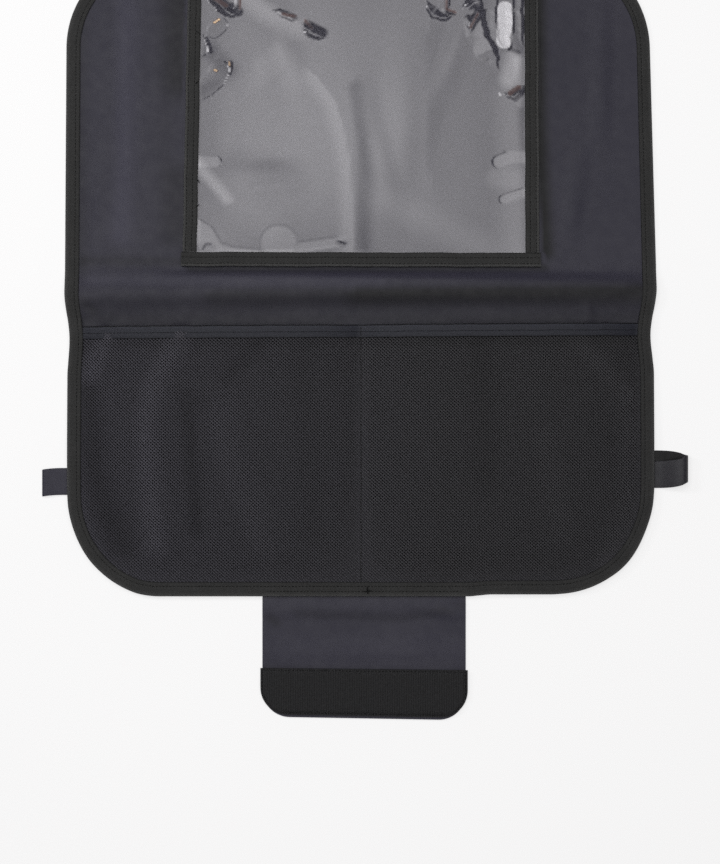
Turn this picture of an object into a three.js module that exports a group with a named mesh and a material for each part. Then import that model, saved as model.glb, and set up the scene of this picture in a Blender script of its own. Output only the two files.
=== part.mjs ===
import * as THREE from "three";

// Car seat protector mat, laid flat with its face up, in millimetres.
// +Z is up and +Y runs towards the headrest.
// Patterns are drawn with x from the mat's centreline and v up from its bottom edge.
// The function lay() then puts a pattern point where the laid cloth has it.

// Layers of cloth, tape and film, and the clearance that two touching layers keep
const ease = 0.25;
const panelThickness = 1.2;
const tapeThickness = 0.5;
const netThickness = 0.6;
const filmThickness = 0.4;
const backingThickness = 0.6;
const strapThickness = 0.8;
const fastenerThickness = 1.7;
const threadThickness = 0.4;

// Back panel and the tape that binds its edge
const matWidth = 460;
const matLength = 500;
const cornerRadius = 73;
const bindingLap = 10.4;

// Net pocket, sewn down along the middle, with a hem tape over its mouth
const pocketDepth = 210.6;
const hemWidth = 10;
const hemTilt = 1.2;
const netInset = 3;
const netBulge = 8;
const netGapShare = 0.62;
const netCellsAcross = 8;
const netCellsUp = 7;
const dividerWidth = 4;
const threadWidth = 1.2;

// Clear window pocket, open at its top tape
const frameWidth = 278;
const frameTapeWidth = 10.9;
const frameToBinding = 5;
const frameFootOverhang = 1;
const backingOverhang = 1.4;
const frameTaper = 1.3;
const filmGrip = 7.5;
const filmBulge = 6;

// Laid shape: the fold between hem and window, and how far the side edges draw in
const foldWidth = 46;
const foldHeight = 4;
const hemPull = { left: 3.9, right: 5.5 };
const hemPullReach = 34;
const topDrawIn = { left: 0.8, right: 4.3 };
const lowDrawIn = { left: 1.6, right: 2.3 };

// Tab that tucks into the seat's gap, and the hook-and-loop strip on its end
const tabWidth = 157;
const tabLength = 96;
const tabOffset = 2;
const tabCornerRadius = 21;
const tabSkew = 1.4;
const tabFoldHeight = 2;
const tabFoldWidth = 21;
const fastenerOverhang = 1.5;
const fastenerDepth = 37.5;
const fastenerLip = 1;

// Side loops: where each end leaves the mat's edge, and how far and high the fold stands
const strapWidth = 21;
const leftLoop = { side: -1, reach: 19.6, height: 3.4, lowV: 88.6, tipV: 87.3, highV: 88.6 };
const rightLoop = { side: 1, reach: 26.5, height: 9.6, lowV: 102.3, tipV: 97.1, highV: 94 };

// Heights of the layers above whatever the mat lies on at that place
const halfWidth = matWidth / 2;
const panelBottom = tapeThickness + ease;
const panelTop = panelBottom + panelThickness;
const netBottom = panelTop + ease;
const hemStack = 2 * tapeThickness + netThickness + 2 * ease;
const backingBottom = panelTop + ease;
const frameBottom = backingBottom + backingThickness + ease;
const filmBottom = frameBottom + tapeThickness + ease;
const frameTop = filmBottom + filmThickness + ease + tapeThickness;

// Straps and tab are a thinner cloth, doubled, and lie under the mat's lower edge
const rootStack = 2 * strapThickness + ease;
const rootLift = rootStack + ease;
const rootLength = bindingLap - 1;

// Heights up the mat
const hemTop = pocketDepth;
const hemBottom = hemTop - hemWidth;
const netFoot = bindingLap + 1;
const netHead = hemBottom - 1;
const frameFoot = hemTop + foldWidth;
const frameHead = matLength - bindingLap - frameToBinding;
const openingFoot = frameFoot + frameTapeWidth;
const openingHead = frameHead - frameTapeWidth;
const openingHalf = frameWidth / 2 - frameTapeWidth;

const netRows = Array.from(
  { length: netCellsUp + 1 },
  (_, k) => netFoot + ((netHead - netFoot) * k) / netCellsUp,
);

const coatedCloth = { color: 0x3a3942, roughness: 0.62, metalness: 0 };
const ribbedTape = { color: 0x2b2b2b, roughness: 0.9, metalness: 0 };
const smoothTape = { color: 0x31333a, roughness: 0.6, metalness: 0 };
const netYarn = { color: 0x26262a, roughness: 0.8, metalness: 0 };
const hookPile = { color: 0x1e1e1e, roughness: 1, metalness: 0 };
const sewingThread = { color: 0x1c1c1e, roughness: 0.8, metalness: 0 };
const clearFilm = {
  color: 0xa9a9ae,
  roughness: 0.08,
  metalness: 0,
  transparent: true,
  opacity: 0.4,
};

function ramp(from, to, value) {
  return THREE.MathUtils.clamp((value - from) / (to - from), 0, 1);
}

// A bump of height 1 that falls to 0 at one reach either side of its centre
function bump(centre, reach, value) {
  const t = Math.min(1, Math.abs(value - centre) / reach);
  return Math.cos((t * Math.PI) / 2) ** 2;
}

// The mat stands on the tab and straps up to the first net row clear of the loops
function liftOverRoots(v) {
  const loopTop = Math.max(leftLoop.lowV, rightLoop.lowV) + strapWidth / 2 + ease;
  const start = netRows.findIndex((row) => row > loopTop);
  const end = Math.min(start + 2, netCellsUp);
  return rootLift * (1 - ramp(netRows[start], netRows[end], v));
}

function rise(v) {
  const fold = bump(hemTop + foldWidth / 2, foldWidth / 2, v);
  return liftOverRoots(v) + foldHeight * fold;
}

// How far a side edge lies inside the cut width: the taut hem pulls it in
function drawIn(side, v) {
  const key = side < 0 ? "left" : "right";
  const foldTop = hemTop + foldWidth;
  const above = topDrawIn[key] * ramp(foldTop, matLength, v);
  const below = lowDrawIn[key] * ramp(hemTop + hemWidth, hemTop - 3 * hemWidth, v);
  const pull = (hemPull[key] - lowDrawIn[key] / 2) * bump(hemBottom, hemPullReach, v);
  return above + below + pull;
}

function lay(x, v, z) {
  const drawn = x * (1 - drawIn(Math.sign(x), v) / halfWidth);
  const tilted = v + ((hemTilt * x) / halfWidth) * bump(hemTop, 2 * foldWidth, v);
  return new THREE.Vector3(drawn, tilted, z + rise(v));
}

// Heights at which pieces of the laid mat are cut into rows, so that they bend together
function rowsBetween(low, high) {
  const step = 6;
  const rows = [low, high];
  for (const v of netRows) rows.push(v);
  for (let v = hemBottom - hemPullReach; v <= frameFoot + step; v += step) rows.push(v);
  rows.push(hemBottom, hemTop, frameFoot);
  const inside = rows.filter((v) => v >= low && v <= high).sort((a, b) => a - b);
  return inside.filter((v, k) => k === 0 || v - inside[k - 1] > 0.01);
}

// Half the width of the mat's outline at v, with the outline moved inwards by inset
function outlineHalfWidth(v, inset = 0) {
  const radius = cornerRadius - inset;
  const toEdge = Math.min(v, matLength - v) - inset;
  const rest = radius - Math.min(radius, Math.max(0, toEdge));
  return halfWidth - cornerRadius + Math.sqrt(radius * radius - rest * rest);
}

function cornerRows(inset, count) {
  const radius = cornerRadius - inset;
  const turn = (k) => ((k / count) * Math.PI) / 2;
  return Array.from({ length: count }, (_, k) => inset + radius * (1 - Math.cos(turn(k))));
}

// A closed sheet between two grids of points, front[row][column] and back[row][column].
// The front faces the side that column direction cross row direction points to.
// A ring's last row joins its first. Where gap() is true the cell has a diamond opening.
function sheetGeometry(front, back, { ring = false, gap = () => false } = {}) {
  const rows = front.length;
  const columns = front[0].length;
  const points = [...front.flat(), ...back.flat()];
  const triangles = [];
  const frontAt = (j, i) => (j % rows) * columns + i;
  const backAt = (j, i) => rows * columns + frontAt(j, i);
  const quad = (a, b, c, d) => triangles.push(a, b, c, a, c, d);

  const diamond = (corners) => {
    const at = corners.map((index) => points[index]);
    const centre = new THREE.Vector3();
    for (const p of at) centre.addScaledVector(p, 1 / 4);
    return corners.map((_, k) => {
      const middle = at[k].clone().lerp(at[(k + 1) % 4], 0.5);
      return points.push(centre.clone().lerp(middle, netGapShare)) - 1;
    });
  };
  const around = (corners, tips) => {
    for (let k = 0; k < 4; k++) {
      const next = (k + 1) % 4;
      triangles.push(corners[k], corners[next], tips[k]);
      triangles.push(corners[next], tips[next], tips[k]);
    }
  };

  const rowSteps = ring ? rows : rows - 1;
  for (let j = 0; j < rowSteps; j++) {
    for (let i = 0; i < columns - 1; i++) {
      const near = [frontAt(j, i), frontAt(j, i + 1), frontAt(j + 1, i + 1), frontAt(j + 1, i)];
      const far = [backAt(j, i), backAt(j + 1, i), backAt(j + 1, i + 1), backAt(j, i + 1)];
      if (gap(j, i)) {
        const nearTips = diamond(near);
        const farTips = diamond(far);
        around(near, nearTips);
        around(far, farTips);
        for (let k = 0; k < 4; k++) {
          const next = (k + 1) % 4;
          quad(nearTips[k], nearTips[next], farTips[(6 - k) % 4], farTips[3 - k]);
        }
      } else {
        quad(...near);
        quad(...far);
      }
    }
    const last = columns - 1;
    quad(frontAt(j, 0), frontAt(j + 1, 0), backAt(j + 1, 0), backAt(j, 0));
    quad(frontAt(j + 1, last), frontAt(j, last), backAt(j, last), backAt(j + 1, last));
  }
  if (!ring) {
    const top = rows - 1;
    for (let i = 0; i < columns - 1; i++) {
      quad(frontAt(0, i + 1), frontAt(0, i), backAt(0, i), backAt(0, i + 1));
      quad(frontAt(top, i), frontAt(top, i + 1), backAt(top, i + 1), backAt(top, i));
    }
  }

  const geometry = new THREE.BufferGeometry().setFromPoints(points);
  geometry.setIndex(triangles);
  geometry.computeVertexNormals();
  return geometry;
}

// A tape folded over an edge, as a sheet whose section is a flat U.
// A station is a place on the edge: x and v, the way out of the cloth, and the tape's
// lowest and highest level there. Stations run anticlockwise seen from above.
function foldedTape(stations, lap, place, options) {
  const noseTurns = [1 / 2, 1 / 4, 0, -1 / 4, -1 / 2].map((t) => t * Math.PI);
  const section = ({ x, v, outX, outV, low, high }, inner) => {
    const shell = inner ? 0 : tapeThickness;
    const half = (high - low) / 2 - tapeThickness + shell;
    const middle = (high + low) / 2;
    const at = (out, z) => place(x + outX * out, v + outV * out, z);
    const nose = noseTurns.map((turn) =>
      at((ease + shell) * Math.cos(turn), middle + half * Math.sin(turn)),
    );
    return [at(-lap, middle + half), ...nose, at(-lap, middle - half)];
  };
  const front = stations.map((station) => section(station, false));
  const back = stations.map((station) => section(station, true));
  return sheetGeometry(front, back, options);
}

// A flat sheet with one straight-sided row for each height in rows
function rowSheet(rows, columnsAt, bottomAt, thickness, place, options) {
  const level = (offset) =>
    rows.map((v) => columnsAt(v).map((x) => place(x, v, bottomAt(x, v) + offset)));
  return sheetGeometry(level(thickness), level(0), options);
}

function backPanel() {
  const turns = 9;
  const low = cornerRows(0, turns);
  const straight = rowsBetween(cornerRadius, matLength - cornerRadius);
  const high = low.map((v) => matLength - v).reverse();
  const columnsAt = (v) => {
    const edge = outlineHalfWidth(v);
    const clear = edge - bindingLap - ease;
    return [-edge, -clear, clear, edge];
  };
  const rows = [...low, ...straight, ...high];
  return rowSheet(rows, columnsAt, () => panelBottom, panelThickness, lay);
}

// The binding's upper lap climbs over the net, and higher over the ends of the hem
function bindingTopAt(v) {
  const plain = panelTop + ease + tapeThickness;
  const overNet = netThickness + ease;
  const overHem = hemStack + ease;
  const climb = ramp(netRows[netCellsUp - 1], netHead, v);
  const drop = ramp(hemTop + 1, hemTop + 1 + hemWidth, v);
  return plain + (overNet + (overHem - overNet) * climb) * (1 - drop);
}

function edgeBinding() {
  const cornerX = halfWidth - cornerRadius;
  const station = (x, v, outX, outV) => ({ x, v, outX, outV, low: 0, high: bindingTopAt(v) });
  const stations = [];
  const corner = (x, v, startTurn) => {
    const turns = 9;
    for (let k = 0; k <= turns; k++) {
      const angle = startTurn + ((k / turns) * Math.PI) / 2;
      const outX = Math.cos(angle);
      const outV = Math.sin(angle);
      stations.push(station(x + cornerRadius * outX, v + cornerRadius * outV, outX, outV));
    }
  };
  const side = rowsBetween(cornerRadius, matLength - cornerRadius)
    .concat([hemTop + 1, hemTop + 1 + hemWidth])
    .sort((a, b) => a - b)
    .slice(1, -1);
  corner(cornerX, cornerRadius, -Math.PI / 2);
  for (const v of side) stations.push(station(halfWidth, v, 1, 0));
  corner(cornerX, matLength - cornerRadius, 0);
  corner(-cornerX, matLength - cornerRadius, Math.PI / 2);
  for (const v of [...side].reverse()) stations.push(station(-halfWidth, v, -1, 0));
  corner(-cornerX, cornerRadius, Math.PI);
  return foldedTape(stations, bindingLap, lay, { ring: true });
}

// The net's columns at v: a border under the binding, then cells on each side of the seam
function netColumns(v) {
  const edge = outlineHalfWidth(v, netInset);
  const border = Math.max(edge - (bindingLap + 1 - netInset), dividerWidth);
  const half = [dividerWidth / 2];
  for (let k = 1; k <= netCellsAcross; k++) {
    half.push(dividerWidth / 2 + ((border - dividerWidth / 2) * k) / netCellsAcross);
  }
  half.push(edge);
  return [...half.map((x) => -x).reverse(), ...half];
}

// How far the empty pocket stands off the panel: nothing at the seams, most at the mouth
function netCrown(x, v) {
  const edge = outlineHalfWidth(v, bindingLap + 1);
  const seam = dividerWidth / 2;
  const across = Math.min(1, Math.max(0, (Math.abs(x) - seam) / (edge - seam)));
  const up = ramp(netFoot, netHead, v);
  return netBulge * (1 - (2 * across - 1) ** 4) * (1 - (1 - up) ** 3);
}

function underHem(v) {
  return (tapeThickness + ease) * ramp(netRows[netCellsUp - 1], netHead, v);
}

function netPocket() {
  const insideHem = hemTop - tapeThickness - 2 * ease;
  const rows = [netInset, ...netRows, insideHem];
  const bottomAt = (x, v) => netBottom + underHem(v) + netCrown(x, v);
  const cells = 2 * netCellsAcross;
  const gap = (j, i) =>
    j >= 1 && j <= netCellsUp && i >= 1 && i <= cells + 1 && i !== netCellsAcross + 1;
  return rowSheet(rows, netColumns, bottomAt, netThickness, lay, { gap });
}

function pocketHem() {
  const columns = netColumns(hemTop).reverse();
  const edge = hemTop - ease - tapeThickness;
  const stations = columns.map((x) => {
    const low = netBottom + netCrown(x, hemTop);
    return { x, v: edge, outX: 0, outV: 1, low, high: low + hemStack };
  });
  return foldedTape(stations, edge - hemBottom, lay);
}

// The line of thread that sews net to panel, up the net and over the hem
function pocketDivider() {
  const climbStart = netHead - threadWidth;
  const climbEnd = hemBottom - ease;
  const head = hemTop - tapeThickness;
  const rows = [...netRows.slice(0, -1), climbStart, climbEnd, head];
  const onNet = (v) => netBottom + underHem(v) + netThickness + ease;
  const bottomAt = (x, v) =>
    onNet(v) + (tapeThickness + 2 * ease) * ramp(climbStart, climbEnd, v);
  const columnsAt = () => [-threadWidth / 2, threadWidth / 2];
  return rowSheet(rows, columnsAt, bottomAt, threadThickness, lay);
}

// The window pocket narrows a little towards its mouth
function placeInFrame(x, v, z) {
  const narrowing = (frameTaper / (frameWidth / 2)) * ramp(frameFoot, frameHead, v);
  return lay(x * (1 - narrowing), v, z);
}

// The film's stand-off: an arch between the side tapes that grows from foot to mouth
function filmCrown(x, v) {
  const across = Math.min(1, Math.abs(x) / openingHalf);
  const up = ramp(openingFoot, openingHead, v);
  return filmBulge * (1 - across ** 4) * (1 - (1 - up) ** 4);
}

// Shallow folds in the film: centre, half width, lean, how far down they run, and height
const filmFolds = [
  { x: -12, reach: 17, lean: 0.18, foot: 0, head: 0.75, height: 1.4 },
  { x: 38, reach: 20, lean: -0.08, foot: 0, head: 1, height: 0.9 },
  { x: -78, reach: 22, lean: 0.3, foot: 0.45, head: 1.15, height: 1.3 },
  { x: 92, reach: 16, lean: -0.35, foot: 0.5, head: 1.15, height: 1.5 },
];

function filmFoldsAt(x, v) {
  const up = (v - openingFoot) / (openingHead - openingFoot);
  const inside = 1 - Math.min(1, Math.abs(x) / openingHalf) ** 8;
  let total = 0;
  for (const fold of filmFolds) {
    const line = fold.x + fold.lean * (openingHead - v);
    const middle = (fold.foot + fold.head) / 2;
    const along = bump(middle, (fold.head - fold.foot) / 2, up);
    total += fold.height * bump(line, fold.reach, x) * along;
  }
  return total * inside * ramp(openingHead, openingHead - frameTapeWidth, v);
}

function frameColumns() {
  const cells = 20;
  return Array.from({ length: cells + 1 }, (_, k) => openingHalf * ((2 * k) / cells - 1));
}

// The pocket's back, a plain sheet that shows a little past the side tapes
function windowBacking() {
  const edge = frameWidth / 2 + backingOverhang;
  const rows = [frameFoot + frameFootOverhang, frameHead];
  const columnsAt = () => [-edge, edge];
  const bottomAt = () => backingBottom;
  return rowSheet(rows, columnsAt, bottomAt, backingThickness, placeInFrame);
}

function windowFilm() {
  const outer = openingHalf + filmGrip;
  const columns = [-outer, ...frameColumns(), outer];
  const steps = 16;
  const rows = [openingFoot - filmGrip];
  for (let k = 0; k <= steps; k++) {
    rows.push(openingFoot + ((openingHead - openingFoot) * k) / steps);
  }
  rows.push(openingHead + filmGrip);
  const bottomAt = (x, v) => filmBottom + filmCrown(x, v) + filmFoldsAt(x, v);
  return rowSheet(rows, () => columns, bottomAt, filmThickness, placeInFrame);
}

// One straight tape of the window's frame, folded over the film's edge
function frameTape(line, outX, outV) {
  const stations = line.map(({ x, v, lift }) => ({
    x: x - outX * (ease + tapeThickness),
    v: v - outV * (ease + tapeThickness),
    outX,
    outV,
    low: frameBottom + lift,
    high: frameTop + lift,
  }));
  return foldedTape(stations, frameTapeWidth - ease - tapeThickness, placeInFrame);
}

function frameSideTape(side) {
  const x = (side * frameWidth) / 2;
  const low = { x, v: openingFoot + ease, lift: 0 };
  const high = { x, v: openingHead - ease, lift: 0 };
  return frameTape(side > 0 ? [low, high] : [high, low], side, 0);
}

function frameFootTape() {
  const x = frameWidth / 2 + frameFootOverhang;
  const at = (end) => ({ x: end * x, v: frameFoot, lift: 0 });
  return frameTape([at(-1), at(1)], 0, -1);
}

function frameHeadTape() {
  const half = frameWidth / 2;
  const columns = [-half, ...frameColumns(), half].reverse();
  const line = columns.map((x) => ({ x, v: frameHead, lift: filmCrown(x, frameHead) }));
  return frameTape(line, 0, 1);
}

// Half the width of a strip at v, where its lower corners are rounded
function roundedEndHalfWidth(v, end, half, radius) {
  const rest = radius - Math.min(radius, Math.max(0, v - end));
  return half - radius + Math.sqrt(radius * radius - rest * rest);
}

function roundedEndRows(end, radius) {
  const turns = 8;
  const turn = (k) => ((k / turns) * Math.PI) / 2;
  return Array.from({ length: turns + 1 }, (_, k) => end + radius * (1 - Math.cos(turn(k))));
}

// The tab's end hangs a little lower on one side
function placeOnTab(x, v, z) {
  const skew = (tabSkew * x) / (tabWidth / 2);
  return new THREE.Vector3(x + tabOffset, v - skew * ramp(0, -tabLength, v), z);
}

function tabPanel() {
  const crest = -tabFoldWidth / 2 - ease;
  const folds = Array.from({ length: 9 }, (_, k) => crest + tabFoldWidth * (k / 8 - 1 / 2));
  const rows = [...roundedEndRows(-tabLength, tabCornerRadius), ...folds, rootLength];
  const columnsAt = (v) => {
    const half = roundedEndHalfWidth(v, -tabLength, tabWidth / 2, tabCornerRadius);
    return [-half, half];
  };
  const bottomAt = (x, v) => tabFoldHeight * bump(crest, tabFoldWidth / 2, v);
  return rowSheet(rows, columnsAt, bottomAt, rootStack, placeOnTab);
}

function tabFastener() {
  const end = fastenerLip - tabLength;
  const edge = tabWidth / 2 + fastenerOverhang;
  const rows = [...roundedEndRows(end, tabCornerRadius), end + fastenerDepth];
  const columnsAt = (v) => {
    const half = roundedEndHalfWidth(v, end, edge, tabCornerRadius);
    return [-half, half];
  };
  const bottomAt = () => rootStack + ease;
  return rowSheet(rows, columnsAt, bottomAt, fastenerThickness, placeOnTab);
}

// A strap folded into a loop: out along the ground, round the fold, and back above itself
function sideLoop({ side, reach, height, lowV, tipV, highV }) {
  const low = strapThickness / 2;
  const high = height - strapThickness / 2;
  const rootHigh = rootStack - strapThickness / 2;
  const radius = (high - low) / 2;
  const foldX = reach - strapThickness / 2 - radius;
  const startX = ease + tapeThickness + 1;
  const line = [
    [-rootLength, low, lowV],
    [0, low, lowV],
  ];
  const along = (x) => ramp(0, reach, x);
  const foldTurns = 12;
  for (let k = 0; k <= foldTurns; k++) {
    const angle = (k / foldTurns - 1 / 2) * Math.PI;
    const x = foldX + radius * Math.cos(angle);
    const share = k / foldTurns;
    const v = THREE.MathUtils.lerp(
      THREE.MathUtils.lerp(lowV, tipV, along(x)),
      THREE.MathUtils.lerp(highV, tipV, along(x)),
      share,
    );
    line.push([x, low + radius + radius * Math.sin(angle), v]);
  }
  const backTurns = 10;
  for (let k = 1; k <= backTurns; k++) {
    const x = THREE.MathUtils.lerp(foldX, startX, k / backTurns);
    const z = rootHigh + (high - rootHigh) * THREE.MathUtils.smoothstep(x, startX, foldX);
    line.push([x, z, THREE.MathUtils.lerp(highV, tipV, along(x))]);
  }
  line.push([-rootLength, rootHigh, highV]);

  const edgeX = halfWidth - drawIn(side, (lowV + highV) / 2);
  const rowAt = (across, offset) =>
    line.map(([x, z, v], k) => {
      const before = line[Math.max(0, k - 1)];
      const after = line[Math.min(line.length - 1, k + 1)];
      const travel = new THREE.Vector2(after[0] - before[0], after[1] - before[1]).normalize();
      const outX = x - travel.y * offset;
      const outZ = z + travel.x * offset;
      return new THREE.Vector3(side * (edgeX + outX), v + across, outZ);
    });
  const edges = side > 0 ? [-strapWidth / 2, strapWidth / 2] : [strapWidth / 2, -strapWidth / 2];
  const inner = edges.map((across) => rowAt(across, strapThickness / 2));
  const outer = edges.map((across) => rowAt(across, -strapThickness / 2));
  return sheetGeometry(inner, outer);
}

function piece(name, geometry, look) {
  const mesh = new THREE.Mesh(geometry, new THREE.MeshStandardMaterial(look));
  mesh.name = name;
  return mesh;
}

const laidMat = new THREE.Group();
laidMat.add(
  piece("back_panel", backPanel(), coatedCloth),
  piece("edge_binding", edgeBinding(), ribbedTape),
  piece("net_pocket", netPocket(), netYarn),
  piece("pocket_hem", pocketHem(), smoothTape),
  piece("pocket_divider_seam", pocketDivider(), sewingThread),
  piece("window_backing", windowBacking(), coatedCloth),
  piece("window_film", windowFilm(), clearFilm),
  piece("window_tape_left", frameSideTape(-1), ribbedTape),
  piece("window_tape_right", frameSideTape(1), ribbedTape),
  piece("window_tape_foot", frameFootTape(), ribbedTape),
  piece("window_tape_head", frameHeadTape(), ribbedTape),
  piece("tab_panel", tabPanel(), coatedCloth),
  piece("tab_fastener", tabFastener(), hookPile),
  piece("side_loop_left", sideLoop(leftLoop), coatedCloth),
  piece("side_loop_right", sideLoop(rightLoop), coatedCloth),
);

// The frame's origin is on the ground under the middle of the mat, loops and tab included
const extent = new THREE.Box3().setFromObject(laidMat);
const middle = extent.getCenter(new THREE.Vector3());
laidMat.position.set(-middle.x, -middle.y, -extent.min.z);

const mat = new THREE.Group();
mat.add(laidMat);

export default mat;
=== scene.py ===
import bpy
import math
import numpy as np
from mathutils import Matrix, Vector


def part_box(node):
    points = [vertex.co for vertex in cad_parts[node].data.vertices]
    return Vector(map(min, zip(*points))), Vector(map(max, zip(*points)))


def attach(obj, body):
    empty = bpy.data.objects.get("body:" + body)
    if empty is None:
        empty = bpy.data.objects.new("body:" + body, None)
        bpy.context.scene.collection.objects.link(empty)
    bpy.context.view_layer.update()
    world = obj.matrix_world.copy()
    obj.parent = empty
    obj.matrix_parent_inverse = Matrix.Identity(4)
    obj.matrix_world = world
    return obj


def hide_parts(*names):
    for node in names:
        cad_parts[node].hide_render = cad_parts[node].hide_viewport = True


# A car seat protector mat, laid flat with its face up and seen from straight above.
# Patterns are drawn in millimetres: x from the mat's centreline, v up from its bottom edge.
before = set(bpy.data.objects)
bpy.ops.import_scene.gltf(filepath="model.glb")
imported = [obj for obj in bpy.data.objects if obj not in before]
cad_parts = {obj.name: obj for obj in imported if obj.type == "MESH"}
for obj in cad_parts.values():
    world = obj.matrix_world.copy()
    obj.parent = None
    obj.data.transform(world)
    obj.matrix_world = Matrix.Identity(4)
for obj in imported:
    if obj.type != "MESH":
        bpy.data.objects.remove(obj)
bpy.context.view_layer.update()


# Camera: straight above the mat, with the part of it in view that the photograph shows.
# The mat's top edge lies above the view, and the tab's end touches its bottom.
MM = 0.001
PIXEL = 0.78
PHOTO_COLUMNS, PHOTO_ROWS = 720, 864
CENTRELINE_COLUMN = 361
FOOT_ROW = 595
CAMERA_HEIGHT = 1.5
SENSOR = 36

seam_low, seam_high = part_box("pocket_divider_seam")
panel_low, panel_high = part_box("back_panel")
ORIGIN_X = (seam_low.x + seam_high.x) / 2
ORIGIN_Y = panel_low.y


def from_photo(column, row):
    """A pixel of the photograph as a place on the pattern, in millimetres."""
    return (column - CENTRELINE_COLUMN) * PIXEL, (FOOT_ROW - row) * PIXEL


view_x, view_v = from_photo(PHOTO_COLUMNS / 2, PHOTO_ROWS / 2)
camera = bpy.data.cameras.new("camera")
camera.sensor_width = SENSOR
camera.lens = SENSOR * CAMERA_HEIGHT / (PHOTO_ROWS * PIXEL * MM)
camera_object = bpy.data.objects.new("camera", camera)
camera_object.location = (ORIGIN_X + view_x * MM, ORIGIN_Y + view_v * MM, CAMERA_HEIGHT)
bpy.context.collection.objects.link(camera_object)
bpy.context.scene.camera = camera_object
bpy.context.scene.view_settings.view_transform = "Standard"
bpy.context.scene.cycles.use_denoising = False


# Studio: a wide soft light overhead, a smaller soft-edged one beside it to the upper left,
# and a key light low on the left. The room is pale at the horizon and dark above it.
# Two thirds of the floor's paleness in view is its own glow, so that it stays white.
LIGHTS = {
    "wide_light": {"size": 1.9, "energy": 23.5, "place": (-0.08, 0.14, 1.62), "tilt": (0, 0)},
    "inner_light": {"size": 1.3, "energy": 9, "place": (-0.5, 0.5, 1.6), "tilt": (0, 0)},
    "key_light": {"size": 0.6, "energy": 13, "place": (-1.7, 0.75, 1.35), "tilt": (24, -50)},
}
SOFT_EDGED = "inner_light"
SOFT_CORE, SOFT_END = 0.12, 0.5
HORIZON_TOP, CEILING_START = 0.1, 0.22
HORIZON_LEVEL, CEILING_LEVEL = 0.9, (0.075, 0.066, 0.062)
FLOOR_COLOUR = (0.965, 0.965, 0.967, 1)
FLOOR_GLOW = 0.66
FLOOR_HALF = 12


def add_node(tree, kind, values=(), **settings):
    """A shader node with its settings, and its inputs set to numbers or joined to sockets."""
    node = tree.nodes.new(kind)
    for name, value in settings.items():
        setattr(node, name, value)
    for name, value in dict(values).items():
        if isinstance(value, bpy.types.NodeSocket):
            tree.links.new(value, node.inputs[name])
        else:
            node.inputs[name].default_value = value
    return node


def colour_ramp(tree, factor, stops):
    """A ramp through stops of (position, colour), each colour being a grey or a triple."""
    node = add_node(tree, "ShaderNodeValToRGB", {"Fac": factor})
    elements = node.color_ramp.elements
    while len(elements) < len(stops):
        elements.new(0.5)
    for element, (position, colour) in zip(elements, stops):
        element.position = position
        triple = colour if hasattr(colour, "__len__") else (colour,) * 3
        element.color = (*triple, 1)
    return node.outputs["Color"]


for name, light in LIGHTS.items():
    lamp = bpy.data.lights.new(name, "AREA")
    lamp.shape = "SQUARE"
    lamp.size = light["size"]
    lamp.energy = light["energy"]
    lamp_object = bpy.data.objects.new(name, lamp)
    lamp_object.location = light["place"]
    lamp_object.rotation_euler = [math.radians(angle) for angle in (*light["tilt"], 0)]
    bpy.context.collection.objects.link(lamp_object)

soft_lamp = bpy.data.lights[SOFT_EDGED]
soft_lamp.use_nodes = True
soft_tree = soft_lamp.node_tree
on_lamp = add_node(soft_tree, "ShaderNodeNewGeometry").outputs["Parametric"]
from_middle = add_node(
    soft_tree, "ShaderNodeVectorMath", {0: on_lamp, 1: (0.5, 0.5, 0)}, operation="DISTANCE"
).outputs["Value"]
soft_edge = colour_ramp(soft_tree, from_middle, [(SOFT_CORE, 1), (SOFT_END, 0)])
soft_tree.links.new(soft_edge, soft_tree.nodes["Emission"].inputs["Color"])

world = bpy.data.worlds.new("room")
world.use_nodes = True
bpy.context.scene.world = world
room = world.node_tree
direction = add_node(room, "ShaderNodeTexCoord").outputs["Generated"]
height = add_node(room, "ShaderNodeSeparateXYZ", {"Vector": direction}).outputs["Z"]
room_colour = colour_ramp(
    room, height, [(HORIZON_TOP, HORIZON_LEVEL), (CEILING_START, CEILING_LEVEL)]
)
room.links.new(room_colour, room.nodes["Background"].inputs["Color"])

floor_mesh = bpy.data.meshes.new("floor")
floor_corners = [(-1, -1), (1, -1), (1, 1), (-1, 1)]
floor_mesh.from_pydata(
    [(FLOOR_HALF * x, FLOOR_HALF * y, 0) for x, y in floor_corners], [], [(0, 1, 2, 3)]
)
floor_material = bpy.data.materials.new("floor_paint")
floor_material.use_nodes = True
floor_tree = floor_material.node_tree
floor_shader = floor_tree.nodes["Principled BSDF"]
floor_shader.inputs["Base Color"].default_value = FLOOR_COLOUR
floor_shader.inputs["Roughness"].default_value = 1
floor_shader.inputs["Specular IOR Level"].default_value = 0
floor_glow = add_node(floor_tree, "ShaderNodeEmission", {"Color": (1, 1, 1, 1)})
rays = add_node(floor_tree, "ShaderNodeLightPath").outputs
seen = rays["Is Camera Ray"]
for ray in ("Is Glossy Ray", "Is Transmission Ray"):
    either = add_node(floor_tree, "ShaderNodeMath", {0: seen, 1: rays[ray]}, operation="MAXIMUM")
    seen = either.outputs[0]
glow_share = add_node(
    floor_tree, "ShaderNodeMath", {0: seen, 1: FLOOR_GLOW}, operation="MULTIPLY"
)
floor_mix = add_node(floor_tree, "ShaderNodeMixShader", {0: glow_share.outputs[0]})
floor_tree.links.new(floor_shader.outputs[0], floor_mix.inputs[1])
floor_tree.links.new(floor_glow.outputs[0], floor_mix.inputs[2])
floor_output = floor_tree.nodes["Material Output"]
floor_tree.links.new(floor_mix.outputs[0], floor_output.inputs["Surface"])
floor_mesh.materials.append(floor_material)
floor = bpy.data.objects.new("floor", floor_mesh)
bpy.context.collection.objects.link(floor)


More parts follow.
